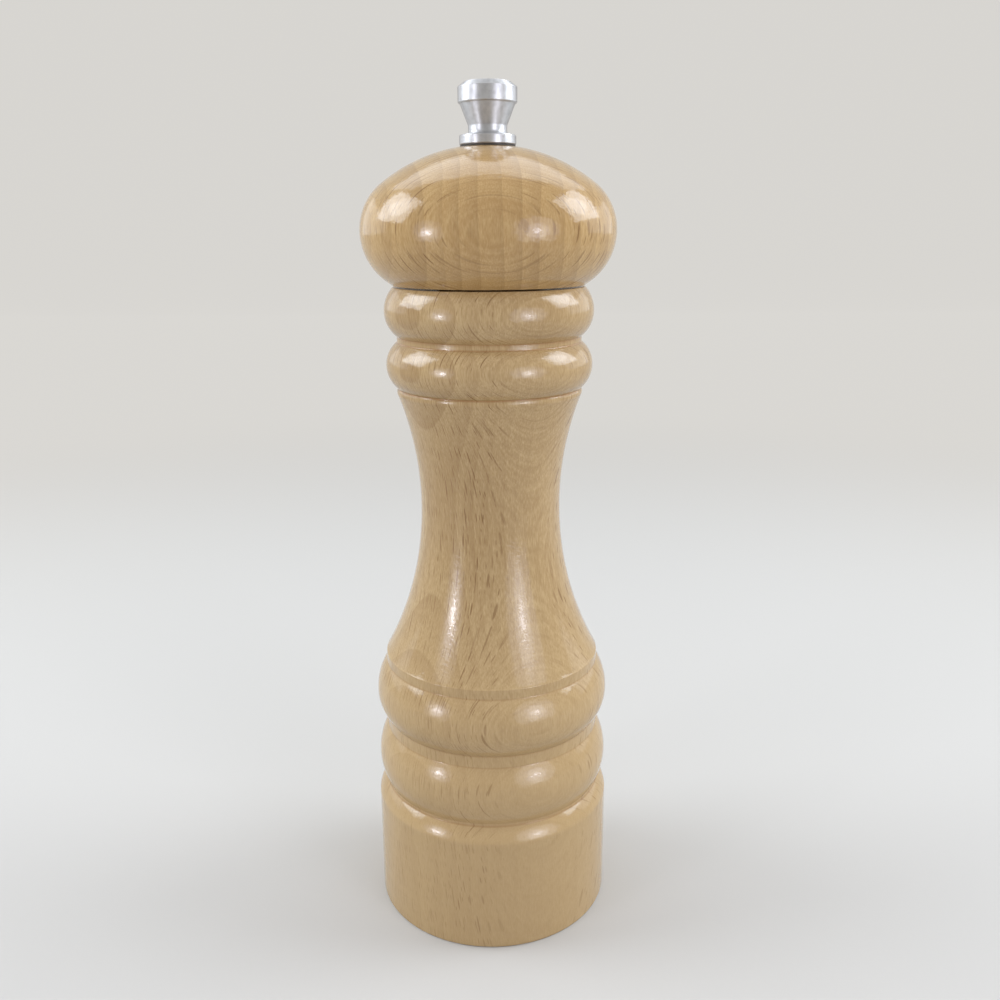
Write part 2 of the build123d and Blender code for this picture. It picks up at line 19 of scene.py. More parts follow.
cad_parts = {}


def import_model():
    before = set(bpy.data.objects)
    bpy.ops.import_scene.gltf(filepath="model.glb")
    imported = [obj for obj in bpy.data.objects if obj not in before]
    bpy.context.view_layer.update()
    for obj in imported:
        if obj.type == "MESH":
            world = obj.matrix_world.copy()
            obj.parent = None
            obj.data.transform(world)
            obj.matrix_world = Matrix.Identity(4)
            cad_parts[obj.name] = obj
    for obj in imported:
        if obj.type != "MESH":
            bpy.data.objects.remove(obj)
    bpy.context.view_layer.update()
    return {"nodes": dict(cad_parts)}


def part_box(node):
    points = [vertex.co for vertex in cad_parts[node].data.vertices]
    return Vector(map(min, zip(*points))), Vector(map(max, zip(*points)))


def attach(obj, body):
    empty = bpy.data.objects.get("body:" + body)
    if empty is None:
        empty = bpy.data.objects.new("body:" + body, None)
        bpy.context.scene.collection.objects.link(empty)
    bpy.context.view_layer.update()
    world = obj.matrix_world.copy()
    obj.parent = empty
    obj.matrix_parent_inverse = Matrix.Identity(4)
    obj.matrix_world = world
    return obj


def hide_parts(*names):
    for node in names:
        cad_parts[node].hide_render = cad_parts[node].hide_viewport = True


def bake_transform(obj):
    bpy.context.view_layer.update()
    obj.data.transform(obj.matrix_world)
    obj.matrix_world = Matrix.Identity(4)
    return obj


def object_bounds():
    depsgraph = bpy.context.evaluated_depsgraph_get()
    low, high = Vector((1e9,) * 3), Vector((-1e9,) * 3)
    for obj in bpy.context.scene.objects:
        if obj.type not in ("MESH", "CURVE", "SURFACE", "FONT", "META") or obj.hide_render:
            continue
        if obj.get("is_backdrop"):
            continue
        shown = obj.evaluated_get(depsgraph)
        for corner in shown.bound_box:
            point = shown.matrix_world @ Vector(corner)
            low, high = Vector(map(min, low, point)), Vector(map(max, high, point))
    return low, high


log = logging.getLogger("pepper_mill")

MM = 0.001
PER_MM = (1 / MM,) * 3

Piece = bpy.types.Object
Socket = bpy.types.NodeSocket
Sockets = dict[str, Socket]
Input = Union[float, Sequence[float], Socket]


# ---------------------------------------------------------------- outlines and meshes


class Upright(Enum):
    """Which end of a bead's or cove's arc runs parallel to the turning axis."""

    START = "start"
    END = "end"


class Outline:
    """An outline in the plane of radius and height, drawn run by run in millimetres.

    The wood or metal lies to the left of the direction of travel, so an outline goes
    outwards along the foot, up the outside, inwards over the top and down the bore.
    """

    STEP: ClassVar[float] = 0.05

    def __init__(self, radius: float, height: float) -> None:
        """Starts the outline at a point."""
        self.end = np.array([radius, height], float)
        self.runs: list[np.ndarray] = [self.end[None]]

    def _carry(self, points: np.ndarray) -> Outline:
        """Adds a run of points and returns the outline, so that calls can be chained."""
        self.runs.append(points)
        self.end = points[-1]
        return self

    def lines(self, *points: tuple[float, float]) -> Outline:
        """Straight runs from where the outline ends to one point after another.

        Args:
            *points: Radius and height of each point.

        Returns:
            The outline, carried on to the last point.
        """
        for point in points:
            gap = np.array(point, float) - self.end
            count = max(2, ceil(np.linalg.norm(gap) / self.STEP) + 1)
            self._carry(self.end + np.linspace(0.0, 1.0, count)[1:, None] * gap)
        return self

    def rise(self, height: float, along_radius: float = 0.0) -> Outline:
        """Straight run by an offset upwards, and along the radius if that is given."""
        return self.lines((self.end[0] + along_radius, self.end[1] + height))

    def bead(self, radius: float, rise: float, upright: Upright) -> Outline:
        """Arc of a bead or a cove that is upright at one end.

        The circle's centre is level with the upright end, as far from it as from the
        other end: centre = (c^2 + h^2 - b^2) / (2 (c - b)), where b and c are the radii
        at the upright end and at the other one and h is the height between them.

        Args:
            radius: Radius where the arc ends.
            rise: How far above its start the arc ends.
            upright: The end at which the arc is parallel to the axis.

        Returns:
            The outline, carried on to the end of the arc.
        """
        target = np.array([radius, self.end[1] + rise], float)
        belly, corner = (self.end, target) if upright is Upright.START else (target, self.end)
        tall = corner[1] - belly[1]
        centre = (corner[0] ** 2 + tall**2 - belly[0] ** 2) / (2.0 * (corner[0] - belly[0]))
        bow = belly[0] - centre
        turn = asin(tall / bow)
        count = max(3, ceil(abs(bow * turn) / self.STEP) + 1)
        angle = np.linspace(0.0, turn, count)
        if upright is Upright.END:
            angle = angle[::-1]
        arc = np.stack([centre + bow * np.cos(angle), belly[1] + bow * np.sin(angle)], axis=1)
        return self._carry(arc[1:])

    def turn(self, centre_radius: float, centre_height: float, angle: float) -> Outline:
        """Arc about a centre, from where the outline ends, through an angle.

        Args:
            centre_radius: Radius of the arc's centre.
            centre_height: Height of the arc's centre.
            angle: Degrees turned, positive from outwards towards upwards.

        Returns:
            The outline, carried on to the end of the arc.
        """
        centre = np.array([centre_radius, centre_height], float)
        arm = self.end - centre
        count = max(3, ceil(np.linalg.norm(arm) * abs(radians(angle)) / self.STEP) + 1)
        sweep = np.linspace(0.0, radians(angle), count)[1:]
        across = arm[0] * np.cos(sweep) - arm[1] * np.sin(sweep)
        up = arm[0] * np.sin(sweep) + arm[1] * np.cos(sweep)
        return self._carry(centre + np.stack([across, up], axis=1))

    def sweep(self, radius: float, rise: float, heading: float) -> Outline:
        """Arc to a point that sets off in a given direction.

        The chord lies half the arc's turn away from that direction, and the arc's radius
        is chord / (2 sin(turn / 2)).

        Args:
            radius: Radius of the point.
            rise: How far the point lies above the arc's start.
            heading: Degrees from outwards towards upwards that the arc sets off in.

        Returns:
            The outline, carried on to the point.
        """
        chord = np.array([radius - self.end[0], rise], float)
        half = atan2(chord[1], chord[0]) - radians(heading)
        bow = np.linalg.norm(chord) / (2 * sin(half))
        centre = self.end + bow * np.array([-sin(radians(heading)), cos(radians(heading))])
        return self.turn(*centre, degrees(2 * half))

    def even(self) -> np.ndarray:
        """All runs as points that lie one step apart along the outline."""
        points = np.concatenate(self.runs)
        run = np.linalg.norm(np.diff(points, axis=0), axis=1)
        length = np.concatenate([[0.0], np.cumsum(run)])
        count = ceil(length[-1] / self.STEP) + 1
        at = np.linspace(0.0, length[-1], count)
        return np.stack([np.interp(at, length, points[:, k]) for k in (0, 1)], axis=1)


@dataclass
class TurnedSurface:
    """A surface of revolution about Z, with its edges eased as sanding leaves them.

    Attributes:
        outline: The outline that is turned about the axis.
        closed: Whether it ends where it starts; otherwise both its ends are on the axis.
        easing: Length over which a corner is rounded.
        longest: Longest stretch of outline between two rings of vertices.
        bend: Most that the outline turns between two rings of vertices, in degrees.
        segments: Vertices in each ring.
    """

    outline: Outline
    closed: bool
    easing: float = 0.5
    longest: float = 0.9
    bend: float = 5.0
    segments: int = 160
    # Width over which inward bends are gathered for the darker hollows: lacquer that gathers there,
    # and painted shade.
    POOL_AND_SHADE_WIDTH: ClassVar[float] = 1.3

    def eased(self) -> np.ndarray:
        """Outline points, each the bell-weighted mean of its neighbours within the easing."""
        points = self.outline.even()
        half = max(1, round(self.easing / 2 / Outline.STEP))
        weights = 1.0 + np.cos(np.linspace(-pi, pi, 2 * half + 3)[1:-1])
        weights /= weights.sum()
        if self.closed:
            padded = np.pad(points[:-1], ((half, half), (0, 0)), mode="wrap")
        else:
            padded = np.pad(points, ((half, half), (0, 0)), mode="reflect", reflect_type="odd")
        smooth = [np.convolve(padded[:, k], weights, mode="valid") for k in (0, 1)]
        return np.stack(smooth, axis=1)

    def rings(self) -> tuple[np.ndarray, dict[str, np.ndarray]]:
        """Rings of vertices, closer together where the outline bends.

        A ring is due whenever length / longest + turning / bend has grown by one.

        Returns:
            Radius and height of each ring, and two marks from 0 to 1: "edge" is how
            sharply the outline bends outwards there, as turning per millimetre, and
            "hollow" is the inward turning within the width of the darkened hollows
            (gathered lacquer and painted shade), in radians.
        """
        points = self.eased()
        ends = points[:1] if self.closed else points[:0]
        loop = np.concatenate([points, ends])
        move = np.diff(loop, axis=0)
        run = np.linalg.norm(move, axis=1)
        heading = np.unwrap(np.arctan2(move[:, 1], move[:, 0]))
        turned = np.gradient(heading)
        cost = run / self.longest + np.abs(turned) / radians(self.bend)
        due = np.concatenate([[0.0], np.cumsum(cost)])
        count = ceil(due[-1]) + 1
        at = np.linspace(0.0, due[-1], count)
        if self.closed:
            at = at[:-1]
        ring = np.stack([np.interp(at, due, loop[:, k]) for k in (0, 1)], axis=1)
        middle = (due[:-1] + due[1:]) / 2
        half = round(self.POOL_AND_SHADE_WIDTH / 2 / Outline.STEP)
        weights = (1.0 + np.cos(np.linspace(-pi, pi, 2 * half + 1))) / 2
        inward = np.pad(np.maximum(-turned, 0.0), half, mode="wrap" if self.closed else "edge")
        bends = {
            "edge": turned / np.maximum(run, 1e-9),
            "hollow": np.convolve(inward, weights, mode="valid"),
        }
        if not self.closed:
            ring[[0, -1], 0] = 0.0
        return ring, {key: np.interp(at, middle, np.clip(value, 0.0, 1.0))
                      for key, value in bends.items()}

    def build(self, name: str, marks: dict[str, Callable] | None = None) -> Piece:
        """Turns the rings about the axis into a mesh object.

        A vertex is (radius cos a, radius sin a, height) for an even series of angles a.

        Args:
            name: Name of the piece.
            marks: Point attributes to write, each worked out from radii and heights.

        Returns:
            The piece, with the point attributes "edge" and "hollow" and the marks.
        """
        ring, bends = self.rings()
        angle = np.linspace(0.0, 2 * pi, self.segments, endpoint=False)
        flat = np.ones_like(angle)
        grid = about_axis(ring[:, :1], angle, ring[:, 1:])
        values = {mark: bend[:, None] * flat for mark, bend in bends.items()}
        for mark, rule in (marks or {}).items():
            values[mark] = rule(ring[:, 0], ring[:, 1])[:, None] * flat
        wrap = Wrap.BOTH if self.closed else Wrap.POLES
        return grid_object(name, grid * MM, wrap, values)


def about_axis(radius: np.ndarray, angle: np.ndarray, height: np.ndarray) -> np.ndarray:
    """Grid of points about Z, rows by columns by three, from radii, angles and heights."""
    across, along = radius * np.cos(angle), radius * np.sin(angle)
    return np.stack([across, along, height * np.ones_like(angle)], axis=2)


class Wrap(Enum):
    """How the rows of a grid close; its columns always close on themselves."""

    BOTH = "last row joins the first row"
    POLES = "first and last rows are single points"
    CAPS = "first and last rows are closed with a fan"


def grid_object(
    name: str, grid: np.ndarray, wrap: Wrap, values: dict[str, np.ndarray] | None = None
) -> Piece:
    """Makes a smooth closed mesh from a grid of points.

    Args:
        name: Name of the object.
        grid: Points in metres, rows by columns by three.
        wrap: How the rows close.
        values: Point attributes, rows by columns each.

    Returns:
        The object, linked to the scene, with its faces outwards.
    """
    rows, columns = grid.shape[:2]
    index = np.arange(rows * columns).reshape(rows, columns)
    beside = np.roll(index, -1, axis=1)
    points = grid.reshape(-1, 3)
    marks = {key: value.reshape(-1) for key, value in (values or {}).items()}
    if wrap is Wrap.BOTH:
        above, above_beside = np.roll(index, -1, axis=0), np.roll(beside, -1, axis=0)
        faces = [np.stack([index, beside, above_beside, above], axis=2).reshape(-1, 4)]
    else:
        low, high = index[:-1], index[1:]
        quads = np.stack([low, beside[:-1], beside[1:], high], axis=2)
        if wrap is Wrap.POLES:
            foot = np.stack([index[1], np.full(columns, index[0, 0]), beside[1]], axis=1)
            top = np.stack([index[-2], beside[-2], np.full(columns, index[-1, 0])], axis=1)
            faces = [quads[1:-1].reshape(-1, 4), foot, top]
            kept = np.concatenate([index[0, :1], index[1:-1].reshape(-1), index[-1, :1]])
        else:
            centres = np.stack([grid[0].mean(axis=0), grid[-1].mean(axis=0)])
            points = np.concatenate([points, centres])
            marks = {key: np.append(mark, [0.0, 0.0]) for key, mark in marks.items()}
            hub = np.full(columns, rows * columns)
            foot = np.stack([index[0], hub, beside[0]], axis=1)
            top = np.stack([index[-1], beside[-1], hub + 1], axis=1)
            faces = [quads.reshape(-1, 4), foot, top]
            kept = np.arange(len(points))
        renumber = np.zeros(len(points), int)
        renumber[kept] = np.arange(len(kept))
        points = points[kept]
        marks = {key: mark[kept] for key, mark in marks.items()}
        faces = [renumber[face] for face in faces]
    return mesh_object(name, points, faces, marks)


def mesh_object(
    name: str, points: np.ndarray, faces: list[np.ndarray], values: dict[str, np.ndarray]
) -> Piece:
    """Puts arrays of points and faces into a new mesh object.

    Args:
        name: Name of the object and of its mesh.
        points: Points in metres, one to a row.
        faces: Arrays of vertex numbers, one face to a row.
        values: Point attributes, one value to a point.

    Returns:
        The object, shaded smooth and linked to the scene.
    """
    mesh = bpy.data.meshes.new(name)
    mesh.vertices.add(len(points))
    mesh.vertices.foreach_set("co", points.astype(np.float32).ravel())
    corners = np.concatenate([face.ravel() for face in faces])
    sides = np.concatenate([np.full(len(face), face.shape[1]) for face in faces])
    mesh.loops.add(len(corners))
    mesh.loops.foreach_set("vertex_index", corners.astype(np.int32))
    mesh.polygons.add(len(sides))
    starts = np.concatenate([[0], np.cumsum(sides)[:-1]])
    mesh.polygons.foreach_set("loop_start", starts.astype(np.int32))
    mesh.update(calc_edges=True)
    mesh.validate()
    for key, value in values.items():
        attribute = mesh.attributes.new(key, "FLOAT", "POINT")
        attribute.data.foreach_set("value", value.astype(np.float32))
    mesh.shade_smooth()
    piece = bpy.data.objects.new(name, mesh)
    bpy.context.scene.collection.objects.link(piece)
    return piece


def report(piece: Piece) -> None:
    """Logs a piece's name, its number of faces and its size in millimetres."""
    size = " x ".join(f"{side / MM:.1f}" for side in piece.dimensions)
    log.info("%s: %d faces, %s mm", piece.name, len(piece.data.polygons), size)


def fit(piece: Piece, body: str, node: str, finish: Finish) -> None:
    """Puts a new piece in the place of a CAD node.

    Args:
        piece: The new piece.
        body: Body that it rides on.
        node: CAD node that it stands for.
        finish: The finish that it is given.
    """
    piece.data.materials.append(finish.material())
    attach(piece, body)
    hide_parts(node)
    report(piece)


# ---------------------------------------------------------------- node trees


class Graph:
    """Adds nodes to one tree, so that a pattern reads as a formula."""

    def __init__(self, tree: bpy.types.NodeTree) -> None:
        """Keeps the tree that the nodes go into."""
        self.tree = tree

    def feed(self, socket: Socket, value: Input) -> None:
        """Links a socket to another one, or sets a constant on it."""
        if isinstance(value, Socket):
            self.tree.links.new(value, socket)
        else:
            socket.default_value = value

    def add(self, kind: str, inputs: dict | None = None, **settings) -> bpy.types.Node:
        """Adds a node.

        Args:
            kind: Blender's name for the kind of node.
            inputs: Values or sockets, by the name or number of the input.
            **settings: Properties of the node.

        Returns:
            The node.
        """
        node = self.tree.nodes.new(kind)
        for key, value in settings.items():
            setattr(node, key, value)
        for key, value in (inputs or {}).items():
            self.feed(node.inputs[key], value)
        return node

    def math(self, operation: str, *values: Input) -> Socket:
        """Sum, product or other function of numbers."""
        node = self.add("ShaderNodeMath", dict(enumerate(values)), operation=operation)
        return node.outputs[0]

    def times(self, *values: Input) -> Socket:
        """Product of numbers."""
        return reduce(lambda first, second: self.math("MULTIPLY", first, second), values)

    def plus(self, *values: Input) -> Socket:
        """Sum of numbers."""
        return reduce(lambda first, second: self.math("ADD", first, second), values)

    def long_side(self, x: Input, y: Input) -> Socket:
        """Long side of a right triangle: the square root of x squared plus y squared."""
        return self.math("SQRT", self.plus(self.times(x, x), self.times(y, y)))

    def vector(self, operation: str, *values: Input) -> Socket:
        """Function of vectors that gives a vector."""
        node = self.add("ShaderNodeVectorMath", dict(enumerate(values)), operation=operation)
        return node.outputs[0]

    def measure(self, operation: str, *values: Input) -> Socket:
        """Function of vectors that gives a number, such as a length or a dot product."""
        node = self.add("ShaderNodeVectorMath", dict(enumerate(values)), operation=operation)
        return node.outputs[1]

    def split(self, vector: Input) -> tuple[Socket, ...]:
        """The three numbers of a vector."""
        return tuple(self.add("ShaderNodeSeparateXYZ", {0: vector}).outputs)

    def join(self, x: Input, y: Input, z: Input) -> Socket:
        """A vector from three numbers."""
        return self.add("ShaderNodeCombineXYZ", {0: x, 1: y, 2: z}).outputs[0]

    def ease(self, value: Input, low: float, high: float) -> Socket:
        """Rises smoothly from 0 at low to 1 at high; low may be the larger of the two."""
        inputs = {0: value, 1: low, 2: high, 3: 0.0, 4: 1.0}
        node = self.add("ShaderNodeMapRange", inputs, interpolation_type="SMOOTHSTEP")
        return node.outputs[0]

    def spread(self, value: Input, low: float, high: float) -> Socket:
        """Takes a value from 0 to 1 to the range from low to high."""
        inputs = {0: value, 1: 0.0, 2: 1.0, 3: low, 4: high}
        return self.add("ShaderNodeMapRange", inputs).outputs[0]

    def noise(self, vector: Input, detail: float = 1.0) -> Socket:
        """Smooth noise from 0 to 1, about one lump to each unit of the vector."""
        inputs = {"Vector": vector, "Scale": 1.0, "Detail": detail}
        return self.add("ShaderNodeTexNoise", inputs).outputs["Fac"]

    def drift(self, vector: Input) -> Socket:
        """Smooth random vector from -0.5 to 0.5 each way."""
        inputs = {"Vector": vector, "Scale": 1.0, "Detail": 1.0}
        colour = self.add("ShaderNodeTexNoise", inputs).outputs["Color"]
        return self.vector("SUBTRACT", colour, (0.5, 0.5, 0.5))

    def dice(self, vector: Input) -> Socket:
        """Three random numbers from 0 to 1 for each whole-numbered cell."""
        node = self.add("ShaderNodeTexWhiteNoise", {"Vector": vector}, noise_dimensions="3D")
        return node.outputs["Color"]

    def mix(self, share: Input, first: Input, second: Input) -> Socket:
        """Colour between two colours."""
        node = self.add("ShaderNodeMix", data_type="RGBA")
        for key, value in zip((0, 6, 7), (share, first, second)):
            self.feed(node.inputs[key], value)
        return node.outputs[2]

    def place(self, scale: Sequence[float], turn: float = 0.0, move: Sequence[float] = (0, 0, 0)):
        """Object coordinates, scaled, then turned about Z by degrees, then moved."""
        inputs = {
            "Vector": self.add("ShaderNodeTexCoord").outputs["Object"],
            "Location": move,
            "Rotation": (0.0, 0.0, radians(turn)),
            "Scale": scale,
        }
        return self.add("ShaderNodeMapping", inputs, vector_type="POINT").outputs[0]

    def mark(self, name: str) -> Socket:
        """Point attribute of the mesh, as a number."""
        node = self.add("ShaderNodeAttribute", attribute_name=name, attribute_type="GEOMETRY")
        return node.outputs["Fac"]

    def relief(self, height: Input) -> Socket:
        """Normal of a surface whose relief is given in millimetres."""
        inputs = {"Strength": 1.0, "Distance": MM, "Height": height}
        return self.add("ShaderNodeBump", inputs).outputs["Normal"]


class Pattern:
    """A node group that finishes share: built once and placed with its own values."""

    name: ClassVar[str] = ""
    inputs: ClassVar[dict[str, tuple[str, object]]] = {}
    outputs: ClassVar[dict[str, str]] = {}

    def draw(self, graph: Graph, given: Sockets) -> dict:
        """Draws the pattern.

        Args:
            graph: Graph of the group's own tree.
            given: The group's inputs by name.

        Returns:
            The sockets that feed the group's outputs, by name.
        """
        raise NotImplementedError

    def tree(self) -> bpy.types.NodeTree:
        """The group's tree, built the first time that it is asked for."""
        found = bpy.data.node_groups.get(self.name)
        if found:
            return found
        tree = bpy.data.node_groups.new(self.name, "ShaderNodeTree")
        for key, (kind, value) in self.inputs.items():
            socket = tree.interface.new_socket(key, in_out="INPUT", socket_type=kind)
            socket.default_value = value
        for key, kind in self.outputs.items():
            tree.interface.new_socket(key, in_out="OUTPUT", socket_type=kind)
        graph = Graph(tree)
        start, end = graph.add("NodeGroupInput"), graph.add("NodeGroupOutput")
        given = {key: start.outputs[key] for key in self.inputs}
        for key, socket in self.draw(graph, given).items():
            graph.feed(end.inputs[key], socket)
        return tree

    def put(self, graph: Graph, **values: Input) -> Sockets:
        """Places the group in a tree.

        Args:
            graph: Graph of the tree that it goes into.
            **values: The group's inputs, with _ for a space in their names.

        Returns:
            The group's outputs by name.
        """
        node = graph.add("ShaderNodeGroup", node_tree=self.tree())
        for key, value in values.items():
            graph.feed(node.inputs[key.replace("_", " ")], value)
        return {key: node.outputs[key] for key in self.outputs}


NUMBER = "NodeSocketFloat"
VECTOR = "NodeSocketVector"


class RayLayer(Pattern):
    """Wood rays: thin upright sheets that run outwards from the pith, one to a cell.

    Each cell of the grid holds a flat ellipsoid with a random place, size and strength,
    so that a cut along the bark side shows it as a dash and a cut along it as a fleck.
    """

    name = "ray_layer"
    inputs = {"Grain": (VECTOR, (0, 0, 0)), "Seed": (NUMBER, 0.0), "Share": (NUMBER, 0.5)}
    outputs = {"Mask": NUMBER}
    thinnest: ClassVar[tuple] = (0.075, 0.34, 0.24)
    thickest: ClassVar[tuple] = (0.115, 0.50, 0.48)

    def draw(self, graph: Graph, given: Sockets) -> dict:
        """Mask = ellipsoid's fill * strength, where a cell's first draw beats the share."""
        seeded = graph.vector("ADD", given["Grain"], given["Seed"])
        column = graph.vector("MULTIPLY", graph.vector("FLOOR", seeded), (1, 0, 1))
        stagger = graph.vector("MULTIPLY", graph.dice(column), (0, 1, 0))
        shifted = graph.vector("ADD", seeded, stagger)
        cell = graph.vector("FLOOR", shifted)
        inside = graph.vector("FRACTION", shifted)
        lot = graph.dice(cell)
        second_lot = graph.dice(graph.vector("ADD", cell, (0.5, 7.5, 3.5)))
        centre = graph.vector("MULTIPLY_ADD", lot, (0.6, 0.1, 0.1), (0.2, 0.45, 0.45))
        growth = tuple(b - a for a, b in zip(self.thinnest, self.thickest))
        half = graph.vector("MULTIPLY_ADD", second_lot, growth, self.thinnest)
        away = graph.vector("DIVIDE", graph.vector("SUBTRACT", inside, centre), half)
        fill = graph.ease(graph.measure("LENGTH", away), 1.0, 0.6)
        draws = graph.split(graph.dice(graph.vector("ADD", cell, (4.5, 1.5, 9.5))))
        there = graph.math("LESS_THAN", draws[0], given["Share"])
        strength = graph.spread(draws[1], 0.4, 1.0)
        return {"Mask": graph.times(fill, there, strength)}


class BeechFigure(Pattern):
    """Solid figure of beech, cut by whatever surface the lathe leaves.

    Place is in millimetres with the tree's pith as its Z axis, and Axis is where the
    turning axis stands in it.  Growth rings go by the distance to the pith, rays by the
    angle about it and fibres by the height.
    """

    name = "beech_figure"
    inputs = {
        "Place": (VECTOR, (0, 0, 0)),
        "Axis": (VECTOR, (90, 0, 0)),
        "Ring Width": (NUMBER, 3.8),
        "Ray Share": (NUMBER, 0.5),
        "Lean": (VECTOR, (0, 0, 0)),
    }
    outputs = {"Tone": NUMBER, "Rings": NUMBER, "Rays": NUMBER, "Flecks": NUMBER,
               "Facing": NUMBER}
    layers: ClassVar[tuple] = ((1.9, 30.0, 5.6), (2.3, 24.0, 7.6), (1.1, 36.0, 3.1))

    def draw(self, graph: Graph, given: Sockets) -> dict:
        """Bends the place a little, then lays rings, ray sheets and fibres through it."""
        place = given["Place"]
        wave = graph.drift(graph.vector("MULTIPLY", place, (0.035, 0.035, 0.014)))
        bent = graph.vector("MULTIPLY_ADD", wave, (2.4, 2.4, 0.0), place)
        x, y, height = graph.split(bent)
        distance = graph.long_side(x, y)
        axis_x, axis_y, _ = graph.split(given["Axis"])
        reach = graph.long_side(axis_x, axis_y)
        angle = graph.math("ARCTAN2", y, x)
        upright = graph.join(graph.times(angle, reach), distance, height)
        leaning = graph.vector("SCALE", given["Lean"])
        graph.feed(leaning.node.inputs["Scale"], height)
        grain = graph.vector("ADD", upright, leaning)
        _, depth, _ = graph.split(grain)

        # A growth ring darkens outwards, then the next one starts pale at a crisp edge.
        wander = graph.noise(graph.vector("MULTIPLY", grain, (0.012, 0.10, 0.005)))
        ring = graph.plus(graph.math("DIVIDE", depth, given["Ring Width"]),
                          graph.times(wander, 1.8))
        phase = graph.math("FRACT", ring)
        late = graph.times(graph.math("POWER", phase, 1.5), graph.ease(phase, 1.0, 0.94))
        year = graph.split(graph.dice(graph.join(graph.math("FLOOR", ring), 0.5, 0.5)))[0]
        rings = graph.times(late, graph.spread(year, 0.55, 1.0))

        # Rays in three sizes of cell.
        masks = [
            RayLayer().put(
                graph,
                Grain=graph.vector("DIVIDE", grain, cell),
                Seed=17.3 * (number + 1),
                Share=given["Ray Share"],
            )["Mask"]
            for number, cell in enumerate(self.layers)
        ]
        rays = graph.math("MAXIMUM", graph.math("MAXIMUM", masks[0], masks[1]), masks[2])

        # Where the turned surface faces along the rays they show as flecks, not as dashes.
        outwards = graph.vector("SUBTRACT", given["Place"], given["Axis"])
        out_x, out_y, _ = graph.split(outwards)
        level = graph.vector("NORMALIZE", graph.join(out_x, out_y, 0.0))
        sheet_normal = graph.vector("NORMALIZE", graph.join(graph.times(y, -1.0), x, 0.0))
        facing = graph.math("ABSOLUTE", graph.measure("DOT_PRODUCT", level, sheet_normal))
        flecks = graph.times(rays, graph.ease(facing, 0.86, 0.985))
        crossing = graph.spread(graph.ease(facing, 0.1, 0.75), 0.85, 1.0)
        dashes = graph.math("SUBTRACT", graph.times(rays, crossing), flecks)

        # Sheets between the rays, single fibres and a slow drift of tone.
        sheets = graph.noise(graph.vector("MULTIPLY", grain, (2.9, 0.06, 0.2)), 2.0)
        fibres = graph.noise(graph.vector("MULTIPLY", grain, (3.2, 3.2, 0.6)), 3.0)
        drift = graph.noise(graph.vector("MULTIPLY", place, (0.03, 0.03, 0.012)))
        tone = graph.plus(graph.times(sheets, 0.25), graph.times(fibres, 0.45),
                          graph.times(drift, 0.30))
        return {"Tone": tone, "Rings": rings, "Rays": dashes, "Flecks": flecks,
                "Facing": facing}


class LatheMarks(Pattern):
    """Fine turning lines round the axis, by radius and height alone."""

    name = "lathe_marks"
    inputs = {"Place": (VECTOR, (0, 0, 0)), "Lines per mm": (NUMBER, 2.0)}
    outputs = {"Lines": NUMBER}

    def draw(self, graph: Graph, given: Sockets) -> dict:
        """Lines = noise of (radius, height) * lines per mm."""
        x, y, height = graph.split(given["Place"])
        pitch = given["Lines per mm"]
        along = graph.join(graph.times(graph.long_side(x, y), pitch), 0.0,
                           graph.times(height, pitch))
        return {"Lines": graph.noise(along, 3.0)}


class LacquerSkin(Pattern):
    """Relief of a thin gloss lacquer over turned wood, in millimetres."""

    name = "lacquer_skin"
    inputs = {
        "Place": (VECTOR, (0, 0, 0)),
        "Wave Depth": (NUMBER, 0.030),
        "Pimple Depth": (NUMBER, 0.018),
        "Line Depth": (NUMBER, 0.0015),
    }
    outputs = {"Height": NUMBER, "Haze": NUMBER}

    def draw(self, graph: Graph, given: Sockets) -> dict:
        """Height = waves a millimetre long + pimples half as wide + turning lines."""
        place = given["Place"]
        waves = graph.noise(graph.vector("MULTIPLY", place, (0.75, 0.75, 1.0)), 1.0)
        pimples = graph.noise(graph.vector("MULTIPLY", place, (1.5, 1.5, 1.9)), 1.0)
        lines = LatheMarks().put(graph, Place=place, Lines_per_mm=1.4)["Lines"]
        height = graph.plus(
            graph.times(waves, given["Wave Depth"]),
            graph.times(pimples, given["Pimple Depth"]),
            graph.times(lines, given["Line Depth"]),
        )
        haze = graph.noise(graph.vector("MULTIPLY", place, (0.25, 0.25, 0.2)), 3.0)
        return {"Height": height, "Haze": haze}


class Handling(Pattern):
    """Uneven sheen and fine scratches of a part that has been tumbled and handled."""

    name = "handling"
    inputs = {"Place": (VECTOR, (0, 0, 0)), "Blotch mm": (NUMBER, 3.0)}
    outputs = {"Sheen": NUMBER, "Scratches": NUMBER}

    def draw(self, graph: Graph, given: Sockets) -> dict:
        """Sheen is lumpy noise; scratches are thin zero lines of stretched noise, in places."""
        size = graph.join(given["Blotch mm"], given["Blotch mm"], given["Blotch mm"])
        sheen = graph.noise(graph.vector("DIVIDE", given["Place"], size), 4.0)
        long_way = graph.vector("MULTIPLY", given["Place"], (0.12, 0.9, 0.35))
        middle = graph.math("SUBTRACT", graph.noise(long_way, 1.0), 0.5)
        scratches = graph.times(graph.ease(graph.math("ABSOLUTE", middle), 0.004, 0.0),
                                graph.ease(sheen, 0.5, 0.6))
        return {"Sheen": sheen, "Scratches": scratches}


# ---------------------------------------------------------------- finishes


def srgb(red: int, green: int, blue: int) -> tuple[float, float, float, float]:
    """Linear colour of a screen colour from 0 to 255."""
    def linear(level: float) -> float:
        """Screen level to light level, by the sRGB curve."""
        return level / 12.92 if level <= 0.04045 else ((level + 0.055) / 1.055) ** 2.4
    return (*(linear(level / 255) for level in (red, green, blue)), 1.0)


def shaded(colour: tuple, share: float) -> tuple[float, float, float, float]:
    """A colour with its light levels multiplied by a share."""
    return (*(share * level for level in colour[:3]), 1.0)


